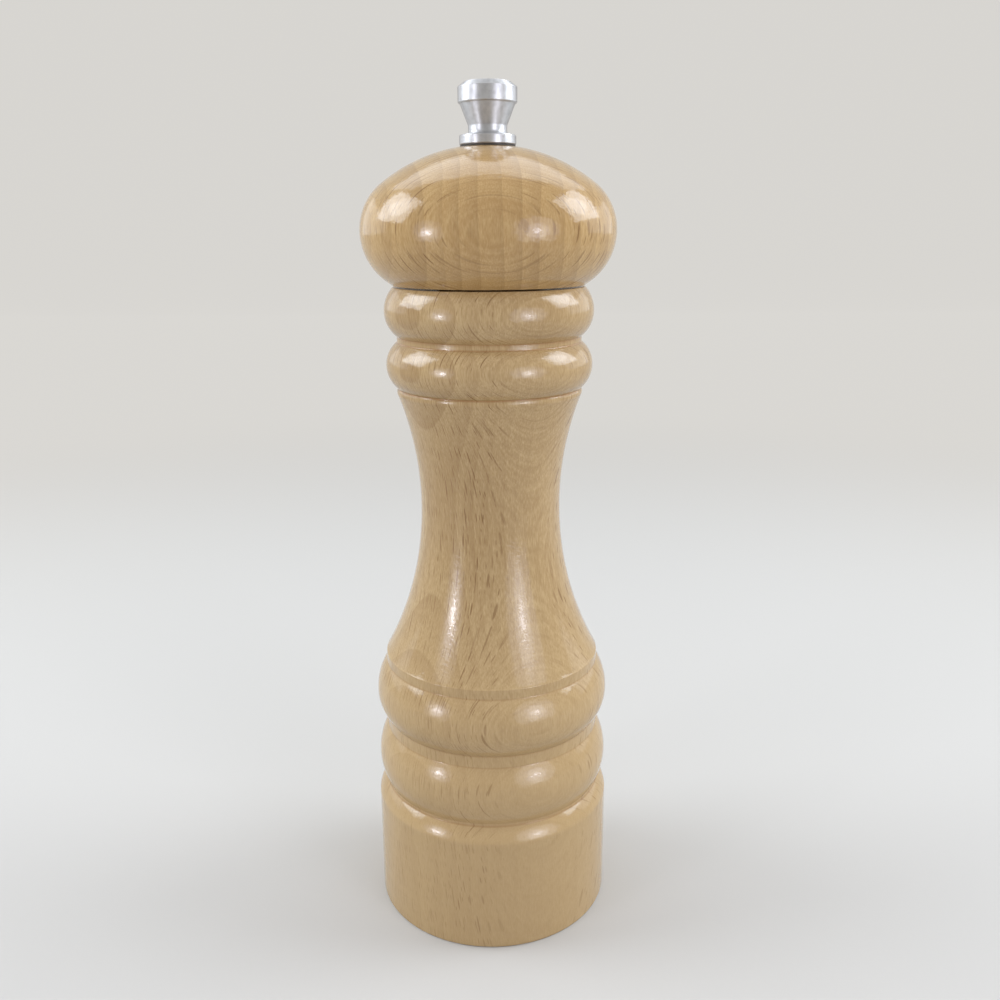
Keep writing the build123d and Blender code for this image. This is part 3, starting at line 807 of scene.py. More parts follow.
@dataclass(frozen=True)
class Finish:
    """A surface finish: one material, built the first time that it is asked for."""

    name: str

    def surface(self, graph: Graph) -> dict[str, Input]:
        """The finish's inputs to the surface shader, by the socket's name."""
        raise NotImplementedError

    def material(self) -> bpy.types.Material:
        """The finish as a material."""
        found = bpy.data.materials.get(self.name)
        if found:
            return found
        made = bpy.data.materials.new(self.name)
        made.use_nodes = True
        made.node_tree.nodes.clear()
        graph = Graph(made.node_tree)
        shader = graph.add("ShaderNodeBsdfPrincipled")
        output = graph.add("ShaderNodeOutputMaterial")
        graph.feed(output.inputs["Surface"], shader.outputs["BSDF"])
        for key, value in self.surface(graph).items():
            graph.feed(shader.inputs[key], value)
        return made


@dataclass(frozen=True)
class LacqueredBeech(Finish):
    """Beech under clear gloss lacquer, raw inside the bore.

    Attributes:
        grain_turn: Degrees that turn the outward way of the growth rings onto +X.
        axis: Where the turning axis stands from the tree's pith, in millimetres.
        ring_width: Width of a growth ring.
        ray_share: Share of the cells that hold a ray.
        lean: How far the fibres lean for each millimetre up: round the pith, then outwards.
        calm: Height up to which the figure is faint, in millimetres.
        ringed: Strength of the rings where they don't fade.
        quiet: How far the rings fade where the surface faces along the rays.
        flecked: Strength of the flecks there.
        contrast: Tone above or below the middle that gives the palest or darkest wood.
        pooling_and_shade: Strength of the darker colour in the hollows, which is gathered lacquer
            and painted shade.
        bareness: Strength of the raw wood's colour.
        ray_depth: How far the rays have sunk, in millimetres.
    """

    grain_turn: float = 0.0
    axis: tuple[float, float] = (90.0, 0.0)
    ring_width: float = 3.8
    ray_share: float = 0.85
    lean: tuple[float, float] = (0.0, 0.0)
    calm: float = 30.0
    ringed: float = 0.42
    quiet: float = 0.0
    flecked: float = 0.5
    dark: tuple = srgb(166, 137, 94)
    pale: tuple = srgb(190, 163, 119)
    late: tuple = srgb(140, 107, 66)
    ray: tuple = srgb(116, 80, 42)
    fleck: tuple = srgb(140, 108, 68)
    # Darker orange-brown for the hollows: lacquer that gathers there, and painted shade.
    pooled_and_shaded: tuple = srgb(146, 102, 54)
    raw: tuple = srgb(205, 184, 150)
    contrast: float = 0.145
    pooling_and_shade: float = 0.6
    bareness: float = 0.5
    ray_depth: float = 0.002
    gloss: float = 0.10
    raw_roughness: float = 0.75

    def surface(self, graph: Graph) -> dict[str, Input]:
        """Figure for the colour, and lacquer for the gloss and the ripple."""
        axis = (self.axis[0], self.axis[1], 0.0)
        place = graph.place(PER_MM, self.grain_turn, axis)
        figure = BeechFigure().put(graph, Place=place, Axis=axis, Ring_Width=self.ring_width,
                                   Ray_Share=self.ray_share, Lean=(*self.lean, 0.0))
        height = graph.split(place)[2]
        risen = graph.ease(height, self.calm, 3.6 * self.calm)
        vivid = graph.spread(risen, 0.3, 1.0)
        tone = graph.times(graph.math("SUBTRACT", figure["Tone"], 0.5), vivid)
        loud = graph.spread(graph.ease(figure["Facing"], 0.6, 0.97), self.ringed,
                            self.ringed * (1.0 - self.quiet))
        rings = graph.times(figure["Rings"], vivid, loud)
        dashes = graph.times(figure["Rays"], graph.spread(risen, 0.45, 0.75))
        flecks = graph.times(figure["Flecks"], vivid, self.flecked)
        colour = graph.mix(graph.ease(tone, -self.contrast, self.contrast), self.dark, self.pale)
        colour = graph.mix(rings, colour, self.late)
        colour = graph.mix(flecks, colour, self.fleck)
        colour = graph.mix(dashes, colour, self.ray)
        # Hollows darkened: lacquer that gathers in concave corners, and painted shade there.
        pool_and_shade = graph.ease(graph.mark("hollow"), 0.2, 1.0)
        colour = graph.mix(graph.times(pool_and_shade, self.pooling_and_shade), colour, self.pooled_and_shaded)
        raw = graph.mark("raw")
        colour = graph.mix(graph.times(raw, self.bareness), colour, self.raw)
        skin = LacquerSkin().put(graph, Place=graph.place(PER_MM))
        relief = graph.math("SUBTRACT", skin["Height"], graph.times(figure["Rays"], self.ray_depth))
        roughness = graph.add("ShaderNodeMix", {0: raw, 3: self.raw_roughness}, data_type="FLOAT")
        graph.feed(roughness.inputs[2], graph.spread(skin["Haze"], self.gloss - 0.02,
                                                     self.gloss + 0.05))
        return {
            "Base Color": colour,
            "Roughness": roughness.outputs[0],
            "IOR": 1.5,
            "Normal": graph.relief(relief),
        }


@dataclass(frozen=True)
class TurnedMetal(Finish):
    """Metal with fine turning lines round the axis.

    Attributes:
        colour: Colour of the metal.
        roughness: Roughness between the lines.
        lines: Turning lines per millimetre.
        depth: Depth of the lines in millimetres.
        stretch: How much the lines stretch reflections across them, from 0 to 1.
        tarnished: Brightness of its dull places, as a share of the clean metal's.
    """

    colour: tuple = srgb(194, 195, 198)
    roughness: float = 0.42
    lines: float = 6.0
    depth: float = 0.0012
    stretch: float = 0.8
    tarnished: float = 0.84

    def surface(self, graph: Graph) -> dict[str, Input]:
        """Clean metal, rougher along the turning lines and bright on its edges."""
        place = graph.place(PER_MM)
        lines = LatheMarks().put(graph, Place=place, Lines_per_mm=self.lines)["Lines"]
        wear = Handling().put(graph, Place=place, Blotch_mm=1.2)
        dull = shaded(self.colour, self.tarnished)
        tarnish = graph.math("SUBTRACT", graph.ease(wear["Sheen"], 0.35, 0.75),
                             graph.mark("edge"))
        colour = graph.mix(tarnish, self.colour, dull)
        around = graph.spread(wear["Sheen"], self.roughness - 0.05, self.roughness + 0.05)
        rough = graph.plus(graph.spread(lines, -0.05, 0.07), around)
        tangent = graph.add("ShaderNodeTangent", direction_type="RADIAL", axis="Z")
        return {
            "Base Color": colour,
            "Metallic": 1.0,
            "Roughness": rough,
            "Anisotropic": self.stretch,
            "Anisotropic Rotation": 0.25,
            "Tangent": tangent.outputs[0],
            "Normal": graph.relief(graph.times(lines, self.depth)),
        }


@dataclass(frozen=True)
class Steel(Finish):
    """Plated, hardened or drawn steel of the works.

    Attributes:
        colour: Colour of clean metal.
        shade: Colour of its duller blotches.
        roughness: Roughness of clean metal.
        blotch: Size of the blotches in millimetres.
        drawn: Stretch of the drawing lines along Z, from 0 for none.
        relief: Depth of the blotches and of the drawing lines in millimetres.
        scratched: Brightness of a scratch, as a share of the clean metal's.
    """

    colour: tuple = srgb(208, 210, 212)
    shade: tuple = srgb(170, 173, 178)
    roughness: float = 0.3
    blotch: float = 2.0
    drawn: float = 0.0
    relief: float = 0.004
    scratched: float = 1.2

    def surface(self, graph: Graph) -> dict[str, Input]:
        """Blotched metal with light scratches, and lines along it where it was drawn."""
        place = graph.place(PER_MM)
        wear = Handling().put(graph, Place=place, Blotch_mm=self.blotch)
        lines = graph.noise(graph.vector("MULTIPLY", place, (9.0, 9.0, 0.15)), 2.0)
        dull = graph.plus(graph.ease(wear["Sheen"], 0.35, 0.7), graph.times(lines, self.drawn))
        colour = graph.mix(graph.times(dull, 0.8), self.colour, self.shade)
        bright = shaded(self.colour, self.scratched)
        colour = graph.mix(graph.times(wear["Scratches"], 0.4), colour, bright)
        relief = graph.plus(graph.times(wear["Sheen"], self.relief),
                            graph.times(lines, self.relief * self.drawn))
        return {
            "Base Color": colour,
            "Metallic": 1.0,
            "Roughness": graph.spread(dull, self.roughness, self.roughness + 0.2),
            "Normal": graph.relief(relief),
        }


@dataclass(frozen=True)
class Nylon(Finish):
    """Dark moulded nylon with a fine spark-eroded grain, dark enough to serve also as painted shade
    in the thin gap under the knob's flange.
    """

    # Dark enough to be painted shade for the gap under the knob's flange as well as the nylon's own
    # colour.
    colour: tuple = srgb(46, 38, 32)
    worn: tuple = srgb(70, 61, 53)

    def surface(self, graph: Graph) -> dict[str, Input]:
        """Even dark plastic, a little paler where it has rubbed."""
        place = graph.place(PER_MM)
        wear = Handling().put(graph, Place=place, Blotch_mm=1.5)
        grain = graph.noise(graph.vector("MULTIPLY", place, (5.0, 5.0, 5.0)), 2.0)
        return {
            "Base Color": graph.mix(graph.ease(wear["Sheen"], 0.5, 0.8), self.colour, self.worn),
            "Roughness": graph.spread(grain, 0.45, 0.65),
            "Normal": graph.relief(graph.times(grain, 0.012)),
        }


def seen_ray(graph: Graph) -> Socket:
    """1 for what the eye sees, straight or in metal and glass, and 0 for thrown light."""
    ray = graph.add("ShaderNodeLightPath").outputs
    seen = graph.math("MAXIMUM", ray["Is Camera Ray"], ray["Is Glossy Ray"])
    return graph.math("MAXIMUM", seen, ray["Is Transmission Ray"])


@dataclass(frozen=True)
class StudioPaper(Finish):
    """Plain pale paper of the floor and the backdrop."""

    colour: tuple = srgb(199, 197, 193)
    glow: float = 1.2
    bounce: float = 0.65
    teeth_per_metre: float = 900.0
    tooth_shade: float = 0.985

    def surface(self, graph: Graph) -> dict[str, Input]:
        """Matt paper with a faint tooth, whose far parts look as bright as the near ones.

        Away from the mill the paper turns from lit to glowing, for the eye and for mirrors
        alone, so that it reads as one even sheet all the way up and lights nothing.  The
        light that it throws back on the mill is that of a somewhat darker paper.
        """
        tooth = graph.noise(graph.place((self.teeth_per_metre,) * 3), 2.0)
        shade = shaded(self.colour, self.tooth_shade)
        colour = graph.mix(tooth, self.colour, shade)
        seen = seen_ray(graph)
        dim = shaded(self.colour, self.bounce)
        away = graph.measure("LENGTH", graph.place((1.0,) * 3))
        far = graph.times(graph.ease(away, 0.2, 0.75), seen)
        return {
            "Base Color": graph.mix(far, graph.mix(seen, dim, colour), (0.0, 0.0, 0.0, 1.0)),
            "Roughness": 0.9,
            "Specular IOR Level": 0.1,
            "Emission Color": colour,
            "Emission Strength": graph.times(far, self.glow),
        }


BODY_BEECH = LacqueredBeech("lacquered_beech_body", grain_turn=-43.6, axis=(90.0, 0.0),
                            ring_width=3.1, lean=(-0.12, 0.0), quiet=0.6,
                            flecked=0.25)
HEAD_BEECH = LacqueredBeech("lacquered_beech_head", grain_turn=0.0, axis=(87.0, 31.0),
                            ring_width=4.5, lean=(-0.02, 0.0), dark=srgb(173, 138, 88),
                            pale=srgb(194, 163, 113))
ALUMINIUM = TurnedMetal("spun_aluminium")
BRIGHT_STEEL = Steel("drawn_bright_steel", colour=srgb(205, 205, 204), shade=srgb(176, 176, 176),
                     roughness=0.22, blotch=6.0, drawn=0.6)
ZINC = Steel("blue_zinc_plate", colour=srgb(206, 210, 214), shade=srgb(168, 174, 182),
             roughness=0.28, blotch=1.6)
SCREW_STEEL = Steel("yellowed_zinc_plate", colour=srgb(214, 212, 204), shade=srgb(170, 168, 160),
                    roughness=0.25, blotch=1.0)
HARDENED_STEEL = Steel("case_hardened_steel", colour=srgb(132, 131, 132), shade=srgb(106, 105, 109),
                       roughness=0.36, blotch=2.2)
SPRING_STEEL = Steel("oiled_spring_wire", colour=srgb(172, 172, 172), shade=srgb(122, 124, 130),
                     roughness=0.26, blotch=1.2)
DARK_NYLON_AND_SHADE = Nylon("dark_nylon_painted_shade")
PAPER = StudioPaper("studio_paper")


# ---------------------------------------------------------------- turned pieces


@dataclass
class TurnedBody:
    """The turned beech body, foot to rim, with its bore.

    Heights are those of each stretch, foot first; the last one is what is left up to
    the rim, whose height and the radius of the base come from the frame.
    """

    foot_round: float = 0.5
    base_height: float = 30.4
    shoulder_round: float = 2.6
    shoulder_turn: float = 20.0
    shoulder_slope_height: float = 3.41
    groove_depth: float = 2.3
    groove_height: float = 0.8
    lower_bead_inset: float = 0.45
    lower_bead_rise: float = 7.1
    lower_bead_fall: float = 8.35
    lower_neck_depth: float = 2.55
    lower_neck_height: float = 3.25
    middle_bead_rise: float = 6.85
    middle_bead_fall: float = 8.6
    step_depth: float = 2.8
    step_height: float = 2.6
    step_chamfer: float = 0.15
    waist_radius: float = 18.05
    flare_height: float = 40.25
    neck_rise: float = 28.45
    collar_radius: float = 23.35
    collar_height: float = 1.9
    collar_bulge: float = 0.25
    upper_bead_radius: float = 25.85
    upper_bead_rise: float = 5.75
    upper_bead_fall: float = 5.65
    upper_neck_radius: float = 23.05
    upper_neck_height: float = 1.4
    top_bead_radius: float = 26.0
    top_bead_rise: float = 6.05
    rim_radius: float = 23.9
    rim_round: float = 0.2
    hopper_radius: float = 12.75
    mouth_chamfer: float = 0.8
    chamber_radius: float = 16.9
    chamber_top: float = 45.68
    funnel_height: float = 5.0
    ring_clearance: float = 0.03
    recess_radius: float = 25.0
    recess_chamfer: float = 0.6
    strap_thickness: float = 1.2
    raw_margin: float = 0.4

    def outline(self) -> Outline:
        """The body's closed outline, from the foot's inner edge round to it again."""
        low, high = (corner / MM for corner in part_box("mill_body"))
        _, ring_high = (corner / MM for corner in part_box("grinding_ring"))
        bar_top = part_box("bottom_bar")[1].z / MM
        strap = (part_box("spring_bracket")[0].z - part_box("grinding_ring")[1].z) / MM
        base, foot, rim = high.x, low.z, high.z
        bead = base - self.lower_bead_inset
        shoulder = foot + self.base_height
        collar_end = self.collar_radius - self.collar_bulge
        collar_heading = 90.0 - 2 * degrees(atan2(self.collar_bulge, self.collar_height / 2))
        drawn = Outline(self.recess_radius + self.recess_chamfer, foot)
        drawn.lines((base - self.foot_round, foot))
        drawn.turn(base - self.foot_round, foot + self.foot_round, 90.0)
        drawn.lines((base, shoulder))
        drawn.turn(base - self.shoulder_round, shoulder, self.shoulder_turn)
        drawn.sweep(base - self.groove_depth, self.shoulder_slope_height,
                    90.0 + self.shoulder_turn)
        drawn.rise(self.groove_height)
        drawn.bead(bead, self.lower_bead_rise, Upright.END)
        drawn.bead(bead - self.lower_neck_depth, self.lower_bead_fall, Upright.START)
        drawn.rise(self.lower_neck_height)
        drawn.bead(bead, self.middle_bead_rise, Upright.END)
        drawn.bead(bead - self.step_depth, self.middle_bead_fall, Upright.START)
        drawn.rise(self.step_height).rise(self.step_chamfer, -self.step_chamfer)
        drawn.bead(self.waist_radius, self.flare_height, Upright.END)
        drawn.bead(collar_end, self.neck_rise, Upright.START)
        drawn.sweep(collar_end, self.collar_height, collar_heading)
        drawn.bead(self.upper_bead_radius, self.upper_bead_rise, Upright.END)
        drawn.bead(self.upper_neck_radius, self.upper_bead_fall, Upright.START)
        drawn.rise(self.upper_neck_height)
        drawn.bead(self.top_bead_radius, self.top_bead_rise, Upright.END)
        drawn.bead(self.rim_radius, rim - self.rim_round - drawn.end[1], Upright.START)
        pocket = ring_high.x + self.ring_clearance
        clamp = ring_high.z + strap + self.strap_thickness
        return drawn.lines(
            (self.rim_radius - self.rim_round, rim),
            (self.hopper_radius + self.mouth_chamfer, rim),
            (self.hopper_radius, rim - self.mouth_chamfer),
            (self.hopper_radius, self.chamber_top + self.funnel_height),
            (self.chamber_radius, self.chamber_top),
            (self.chamber_radius, clamp),
            (pocket, clamp),
            (pocket, bar_top),
            (self.recess_radius, bar_top),
            (self.recess_radius, foot + self.recess_chamfer),
            (self.recess_radius + self.recess_chamfer, foot),
        )

    def raw(self, radius: np.ndarray, height: np.ndarray) -> np.ndarray:
        """1 in the bore and the foot recess, where the lacquer doesn't reach, else 0."""
        margin = self.raw_margin
        bore = radius < self.hopper_radius + margin
        chamber = (height < self.chamber_top) & (radius < self.waist_radius + margin)
        recess = (height < self.base_height) & (radius < self.recess_radius + margin)
        return (bore | chamber | recess).astype(float)

    def build(self) -> None:
        """Turns the body and fits it in place of its CAD node."""
        surface = TurnedSurface(self.outline(), closed=True, segments=176)
        piece = surface.build("turned_body", {"raw": self.raw})
        fit(piece, "mill", "mill_body", BODY_BEECH)


@dataclass
class TurnedHead:
    """The domed head with its tenon, and the bore that the spindle passes through."""

    edge_radius: float = 24.1
    edge_round: float = 0.3
    belly_rise: float = 12.65
    crown_rise: float = 19.85
    crown_round: float = 14.0
    tenon_radius: float = 12.4
    tenon_length: float = 12.0
    tenon_chamfer: float = 0.6
    plate_clearance: float = 0.03
    rod_bore_radius: float = 4.086
    rod_bore_top: float = 182.16
    stud_bore_radius: float = 3.1
    raw_margin: float = 0.4
    raw_top: float = 181.0

    def crown(self, belly: float) -> tuple[float, float, float]:
        """Circle of the dome, which carries on from the arc over the belly.

        With c = belly - round, its radius is (c^2 + rise^2 - round^2) / (2 (rise - round)).

        Args:
            belly: Radius of the head at its belly.

        Returns:
            Radius of the arc's centre, radius of the dome, and the angle in degrees that
            the arc over the belly turns before the dome takes over.
        """
        centre = belly - self.crown_round
        dome = (centre**2 + self.crown_rise**2 - self.crown_round**2) / (
            2 * (self.crown_rise - self.crown_round)
        )
        return centre, dome, degrees(atan2(dome - self.crown_rise, centre))

    def outline(self) -> Outline:
        """The head's closed outline, from the plate's seat round to it again."""
        low, high = (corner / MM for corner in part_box("head"))
        _, plate_high = (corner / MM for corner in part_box("drive_plate"))
        foot, land = low.z, high.z
        shoulder = foot + self.tenon_length
        centre, dome, over = self.crown(high.x)
        middle = shoulder + self.belly_rise + self.crown_rise - dome
        over = -over if dome < self.crown_rise else over
        seat = plate_high.x + self.plate_clearance
        drawn = Outline(seat, foot).lines(
            (self.tenon_radius - self.tenon_chamfer, foot),
            (self.tenon_radius, foot + self.tenon_chamfer),
            (self.tenon_radius, shoulder),
            (self.edge_radius - self.edge_round, shoulder),
            (self.edge_radius, shoulder + self.edge_round),
        )
        drawn.bead(high.x, self.belly_rise - self.edge_round, Upright.END)
        drawn.turn(centre, shoulder + self.belly_rise, over)
        drawn.turn(0.0, middle, degrees(asin((land - middle) / dome)) - over)
        return drawn.lines(
            (self.stud_bore_radius, land),
            (self.stud_bore_radius, self.rod_bore_top),
            (self.rod_bore_radius, self.rod_bore_top),
            (self.rod_bore_radius, plate_high.z),
            (seat, plate_high.z),
            (seat, foot),
        )

    def raw(self, radius: np.ndarray, height: np.ndarray) -> np.ndarray:
        """1 on the tenon and in the bore, where the lacquer doesn't reach, else 0."""
        return ((radius < self.tenon_radius + self.raw_margin)
                & (height < self.raw_top)).astype(float)

    def build(self) -> None:
        """Turns the head and fits it in place of its CAD node."""
        surface = TurnedSurface(self.outline(), closed=True, segments=176)
        piece = surface.build("turned_head", {"raw": self.raw})
        fit(piece, "head", "head", HEAD_BEECH)


@dataclass
class FinialKnob:
    """The turned metal knob that holds the head down and sets the grind."""

    flange_radius: float = 6.78
    flange_height: float = 2.3
    flange_slope: float = 0.85
    flange_dish: float = 0.1
    edge_round: float = 0.25
    neck_radius: float = 4.62
    neck_height: float = 1.2
    cone_radius: float = 6.58
    cone_height: float = 4.9
    band_height: float = 3.6
    top_radius: float = 5.5
    bore_radius: float = 2.55
    bore_depth: float = 11.2
    centre_radius: float = 0.6
    centre_depth: float = 0.6

    def outline(self) -> Outline:
        """The knob's outline, from the top of its bore down, round and up to its top."""
        low, high = (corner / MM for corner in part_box("finial_knob"))
        foot, top, band = low.z, high.z, high.x
        slope_foot = foot + self.flange_height
        slope_end = self.neck_radius + self.flange_slope
        neck = slope_foot + self.flange_slope
        cone_top = neck + self.neck_height + self.cone_height
        drawn = Outline(0.0, foot + self.bore_depth).lines(
            (self.bore_radius, foot + self.bore_depth),
            (self.bore_radius, foot),
            (self.flange_radius - self.edge_round, foot),
            (self.flange_radius, foot + self.edge_round),
            (self.flange_radius, slope_foot - self.edge_round),
            (self.flange_radius - self.edge_round, slope_foot),
            (slope_end, slope_foot + self.flange_dish),
        )
        return drawn.turn(slope_end, neck + self.flange_dish, -90.0).lines(
            (self.neck_radius, neck + self.neck_height),
            (self.cone_radius, cone_top),
            (band - self.edge_round, cone_top),
            (band, cone_top + self.edge_round),
            (band, cone_top + self.band_height),
            (self.top_radius, top),
            (self.centre_radius, top),
            (0.0, top - self.centre_depth),
        )

    def build(self) -> None:
        """Turns the knob and fits it in place of its CAD node."""
        surface = TurnedSurface(self.outline(), closed=False, easing=0.2, longest=0.4,
                                bend=6.0, segments=144)
        piece = surface.build("finial_knob_turned")
        fit(piece, "knob", "finial_knob", ALUMINIUM)


# ---------------------------------------------------------------- works


@dataclass
class ThreadedSpindle:
    """Square rod with a cut thread on its stud and a round pilot with a clip groove."""

    side: float = 5.0
    edge: float = 0.3
    stud_radius: float = 2.5
    stud_length: float = 34.0
    stud_chamfer: float = 0.6
    pitch: float = 0.8
    thread_depth: float = 0.43
    thread_clearance: float = 0.01
    crest: float = 0.125
    flank: float = 0.625
    rows_per_pitch: int = 12
    pilot_radius: float = 2.0
    groove_radius: float = 1.6
    columns: int = 88
    sharpest: float = 35.0

    def square(self, angle: np.ndarray) -> np.ndarray:
        """Distance from the axis to the side of the rod, or to its chamfered edge.

        A side lies side/2 away and a chamfer (side - edge) / sqrt(2): each distance over
        the cosine of the angle from its own normal, whichever is least.
        """
        face = np.abs((angle + pi / 4) % (pi / 2) - pi / 4)
        corner = pi / 4 - face
        return np.minimum(self.side / 2 / np.cos(face),
                          (self.side - self.edge) / sqrt(2.0) / np.cos(corner))

    def thread(self, angle: np.ndarray, height: np.ndarray, foot: float) -> np.ndarray:
        """Radius of a right-hand thread: crest and root flats joined by straight flanks.

        The phase is height / pitch - angle / turn, and the radius falls with its distance
        from the crest, cut off at the crest's and at the root's flat.  The crest's half
        width and the flank's are shares of half a pitch.
        """
        phase = (height - foot) / self.pitch - angle / (2 * pi)
        away = np.abs(phase - np.round(phase)) * 2.0
        depth = np.clip((away - self.crest) / self.flank, 0.0, 1.0) * self.thread_depth
        return self.stud_radius - self.thread_clearance - depth

    def build(self) -> None:
        """Builds the spindle as a grid of angle and height, and fits it in place."""
        low, high = (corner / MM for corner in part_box("spindle"))
        clip_low, clip_high = (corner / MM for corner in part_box("spindle_clip"))
        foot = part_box("grinding_cone")[0].z / MM
        square_top = high.z - self.stud_length
        even = np.linspace(0.0, 2 * pi, self.columns, endpoint=False)
        half_chamfer = pi / 4 - atan2(self.side / 2 - self.edge, self.side / 2)
        corners = (np.arange(4)[:, None] * pi / 2 + pi / 4
                   + np.array([-half_chamfer, half_chamfer])).ravel()
        angle = np.unique(np.round(np.concatenate([even, corners]), 9))
        round_rows = [
            (low.z, 0.0), (low.z, self.pilot_radius - self.edge),
            (low.z + self.edge, self.pilot_radius),
            (clip_low.z, self.pilot_radius), (clip_low.z, self.groove_radius),
            (clip_high.z, self.groove_radius), (clip_high.z, self.pilot_radius),
            (foot, self.pilot_radius),
        ]
        rows = [(level, np.full_like(angle, radius)) for level, radius in round_rows]
        rows += [(level, self.square(angle)) for level in (foot, square_top)]
        heights = np.arange(square_top, high.z, self.pitch / self.rows_per_pitch)
        grid_angle, grid_height = np.meshgrid(angle, heights)
        stud = self.thread(grid_angle, grid_height, square_top)
        tip = self.stud_radius - np.clip(grid_height - (high.z - self.stud_chamfer), 0.0, None)
        stud = np.minimum(stud, tip)
        radius = np.concatenate([np.stack([row for _, row in rows]), stud,
                                 stud[-1:], 0.0 * stud[-1:]])
        height = np.concatenate([[level for level, _ in rows], heights, [high.z, high.z]])
        grid = about_axis(radius, angle, height[:, None])
        piece = grid_object("threaded_spindle", grid * MM, Wrap.POLES)
        piece.data.set_sharp_from_angle(angle=radians(self.sharpest))
        fit(piece, "spindle", "spindle", BRIGHT_STEEL)


@dataclass
class GrindSpring:
    """Compression spring between the bracket's seat and the thrust washer."""

    coil_radius: float = 5.6
    wire_radius: float = 0.6
    turns: int = 7
    steps_per_turn: int = 48
    around: int = 14

    def build(self) -> None:
        """Sweeps the wire along its helix and grinds both ends flat.

        The centre line is (r cos t, r sin t, foot + length t / whole turn); the wire's ring
        stands across it, and heights are cut off at the two ends.
        """
        low, high = (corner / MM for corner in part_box("spring"))
        count = self.turns * self.steps_per_turn + 1
        turn = np.linspace(0.0, 2 * pi * self.turns, count)[:, None]
        wire = np.linspace(0.0, 2 * pi, self.around, endpoint=False)[None]
        climb = (high.z - low.z) / (2 * pi * self.turns)
        run = sqrt(self.coil_radius**2 + climb**2)
        # Ring directions: outwards, and across both that and the wire's own direction.
        out = self.wire_radius * np.cos(wire)
        across = self.wire_radius * np.sin(wire)
        radial = self.coil_radius + out
        x = radial * np.cos(turn) + across * climb / run * np.sin(turn)
        y = radial * np.sin(turn) - across * climb / run * np.cos(turn)
        z = low.z + climb * turn + across * self.coil_radius / run
        grid = np.stack([x, y, np.clip(z, low.z, high.z)], axis=2)
        piece = grid_object("grind_spring", grid[:, ::-1] * MM, Wrap.CAPS)
        piece.data.materials.append(SPRING_STEEL.material())
        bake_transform(piece)
        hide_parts("spring")
        report(piece)


@dataclass
class Works:
    """Metal and nylon pieces whose CAD shapes stay and are given their finishes."""

    finishes: dict[str, Finish] = field(default_factory=lambda: {
        # The washer's dark nylon also serves as painted shade in the gap under the knob's flange.
        "knob_washer": DARK_NYLON_AND_SHADE,
        "drive_plate": ZINC,
        "drive_plate_screws": SCREW_STEEL,
        "bottom_bar": ZINC,
        "bar_screws": SCREW_STEEL,
        "grinding_cone": HARDENED_STEEL,
        "grinding_ring": HARDENED_STEEL,
        "cone_washer": ZINC,
        "spindle_clip": SPRING_STEEL,
        "thrust_washer": ZINC,
        "spring_seat": ZINC,
        "spring_bracket": ZINC,
    })

    def dress(self, nodes: dict[str, Piece]) -> None:
        """Gives each CAD node its finish."""
        for name, finish in self.finishes.items():
            for slot in nodes[name].material_slots:
                slot.material = finish.material()
            log.info("%s: finished as %s", name, finish.name)


# ---------------------------------------------------------------- studio


class Face(Enum):
    """Shape of a lamp's face, by Blender's name for it."""

    BOX = "RECTANGLE"
    ROUND = "ELLIPSE"


@dataclass
class SoftBox:
    """A lamp with an even face that faces the mill.

    Attributes:
        name: Name of the lamp.
        azimuth: Degrees from the front towards +X.
        elevation: Degrees up from the middle of what it faces.
        distance: Metres from there.
        width: Metres across.
        height: Metres high.
        radiance: Brightness of its face, where 1 is white.
        colour: Its colour.
        face: Shape of its face.
    """

    name: str
    azimuth: float
    elevation: float
    distance: float
    width: float
    height: float
    radiance: float
    colour: tuple[float, float, float] = (1.0, 1.0, 1.0)
    face: Face = Face.BOX

    def build(self, target: Vector) -> None:
        """Hangs the lamp about the point that it faces.

        A face of radiance L and area A gives off pi L A watts.
        """
        lamp = bpy.data.lights.new(self.name, "AREA")
        lamp.shape = self.face.value
        lamp.size, lamp.size_y = self.width, self.height
        filled = 1.0 if self.face is Face.BOX else pi / 4
        lamp.energy = self.radiance * pi * filled * self.width * self.height
        lamp.color = self.colour
        away = Vector((
            cos(radians(self.elevation)) * sin(radians(self.azimuth)),
            -cos(radians(self.elevation)) * cos(radians(self.azimuth)),
            sin(radians(self.elevation)),
        ))
        box = bpy.data.objects.new(self.name, lamp)
        box.location = target + self.distance * away
        box.rotation_euler = away.to_track_quat("Z", "Y").to_euler()
        bpy.context.scene.collection.objects.link(box)


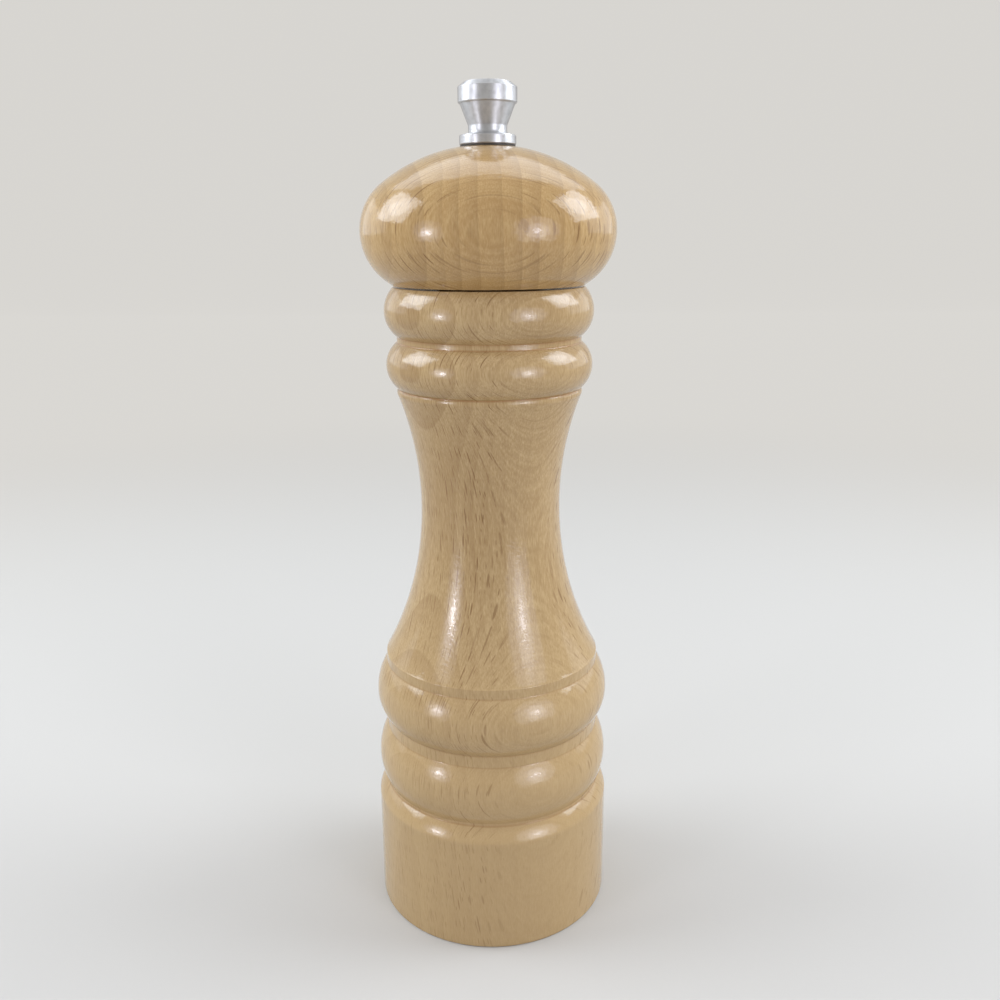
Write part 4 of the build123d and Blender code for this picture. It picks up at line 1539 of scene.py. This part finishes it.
@dataclass
class Studio:
    """Pale paper sweep, soft boxes and the camera."""

    floor_width: float = 5.0
    floor_front: float = 1.6
    floor_back: float = 1.9
    sweep_radius: float = 0.7
    sweep_height: float = 2.2
    sweep_rows: int = 33
    sweep_columns: int = 9
    ambient: float = 0.52
    air: tuple[float, float, float, float] = (1.0, 0.99, 0.97, 1.0)
    camera_place: tuple[float, float, float] = (0.002487, -0.24538, 0.18143)
    camera_pitch: float = 15.609
    camera_roll: float = -0.281
    camera_lens: float = 35.02
    camera_film: float = 36.0
    camera_near: float = 0.01

    def lamps(self) -> list[SoftBox]:
        """Boxes and cards at the sides, two layered lamps in front, one box up behind."""
        cool, lilac = (0.94, 1.0, 1.08), (0.97, 0.98, 1.10)
        left, right = (-52.0, 5.0), (42.0, 7.0)
        return [
            SoftBox("side_box_left", -96.0, 32.0, 0.95, 0.60, 0.54, 4.3, cool),
            SoftBox("side_box_right", 98.0, 33.0, 0.95, 0.58, 0.54, 4.3, cool),
            SoftBox("side_inner_left", -93.0, 33.0, 0.93, 0.36, 0.34, 3.0, cool, Face.ROUND),
            SoftBox("side_inner_right", 95.0, 34.0, 0.93, 0.36, 0.34, 3.0, cool, Face.ROUND),
            SoftBox("side_card_left", -122.0, 12.0, 1.3, 1.1, 0.5, 0.8, cool),
            SoftBox("side_card_right", 118.0, 12.0, 1.3, 1.1, 0.5, 0.9, cool),
            SoftBox("outer_left", *left, 0.63, 0.30, 0.42, 1.1, lilac, Face.ROUND),
            SoftBox("outer_right", *right, 0.63, 0.46, 0.52, 1.6, lilac, Face.ROUND),
            SoftBox("inner_left", *left, 0.62, 0.17, 0.23, 3.4, lilac, Face.ROUND),
            SoftBox("inner_right", *right, 0.62, 0.22, 0.28, 2.6, lilac, Face.ROUND),
            SoftBox("bulb_left", *left, 0.61, 0.06, 0.075, 18.0, lilac, Face.ROUND),
            SoftBox("bulb_right", *right, 0.61, 0.07, 0.08, 9.0, lilac, Face.ROUND),
            SoftBox("back_box", 180.0, 59.0, 0.9, 1.3, 0.42, 1.5, cool),
        ]

    def sweep(self) -> None:
        """Floor that curves up into the backdrop: one strip carried across its width.

        The strip runs level to the back, round a quarter circle and straight up.
        """
        curve = np.linspace(0.0, pi / 2, self.sweep_rows)
        bend_y = self.floor_back + self.sweep_radius * np.sin(curve)
        bend_z = self.sweep_radius * (1.0 - np.cos(curve))
        y = np.concatenate([[-self.floor_front], bend_y, bend_y[-1:]])
        z = np.concatenate([[0.0], bend_z, [self.sweep_height]])
        x = np.linspace(-self.floor_width / 2, self.floor_width / 2, self.sweep_columns)
        grid = np.stack(np.broadcast_arrays(x[None], y[:, None], z[:, None]), axis=2)
        index = np.arange(grid.shape[0] * grid.shape[1]).reshape(grid.shape[:2])
        quads = np.stack([index[:-1, :-1], index[:-1, 1:], index[1:, 1:], index[1:, :-1]], axis=2)
        floor = mesh_object("studio_sweep", grid.reshape(-1, 3), [quads.reshape(-1, 4)], {})
        floor.data.materials.append(PAPER.material())
        floor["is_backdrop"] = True

    def world(self) -> None:
        """Even light from all round, which shows the eye and mirrors the paper's colour."""
        world = bpy.data.worlds.new("studio_air")
        world.use_nodes = True
        world.node_tree.nodes.clear()
        graph = Graph(world.node_tree)
        shown = shaded(PAPER.colour, PAPER.glow)
        dim = shaded(self.air, self.ambient)
        air = graph.add("ShaderNodeBackground", {"Color": graph.mix(seen_ray(graph), dim, shown)})
        output = graph.add("ShaderNodeOutputWorld")
        graph.feed(output.inputs["Surface"], air.outputs[0])
        bpy.context.scene.world = world

    def camera(self) -> None:
        """Camera level with the head of the mill, tilted down towards its middle."""
        lens = bpy.data.cameras.new("camera")
        lens.sensor_width = self.camera_film
        lens.lens = self.camera_lens
        lens.clip_start = self.camera_near
        eye = bpy.data.objects.new("camera", lens)
        tilt = Euler((radians(90.0 - self.camera_pitch), 0.0, 0.0)).to_matrix()
        roll = Matrix.Rotation(radians(self.camera_roll), 3, "Z")
        eye.rotation_euler = (tilt @ roll).to_euler()
        eye.location = self.camera_place
        bpy.context.scene.collection.objects.link(eye)
        bpy.context.scene.camera = eye

    def build(self) -> None:
        """Sets the whole studio up round the mill."""
        low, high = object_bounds()
        middle = (Vector(low) + Vector(high)) / 2
        self.world()
        self.sweep()
        for lamp in self.lamps():
            lamp.build(middle)
        self.camera()
        bpy.context.scene.view_settings.view_transform = "Standard"


def main() -> None:
    """Builds the mill's pieces round the frame, then the studio."""
    logging.basicConfig(level=logging.INFO, format="%(name)s: %(message)s")
    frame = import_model()
    TurnedBody().build()
    TurnedHead().build()
    FinialKnob().build()
    ThreadedSpindle().build()
    GrindSpring().build()
    Works().dress(frame["nodes"])
    Studio().build()


if __name__ == "__main__":
    main()
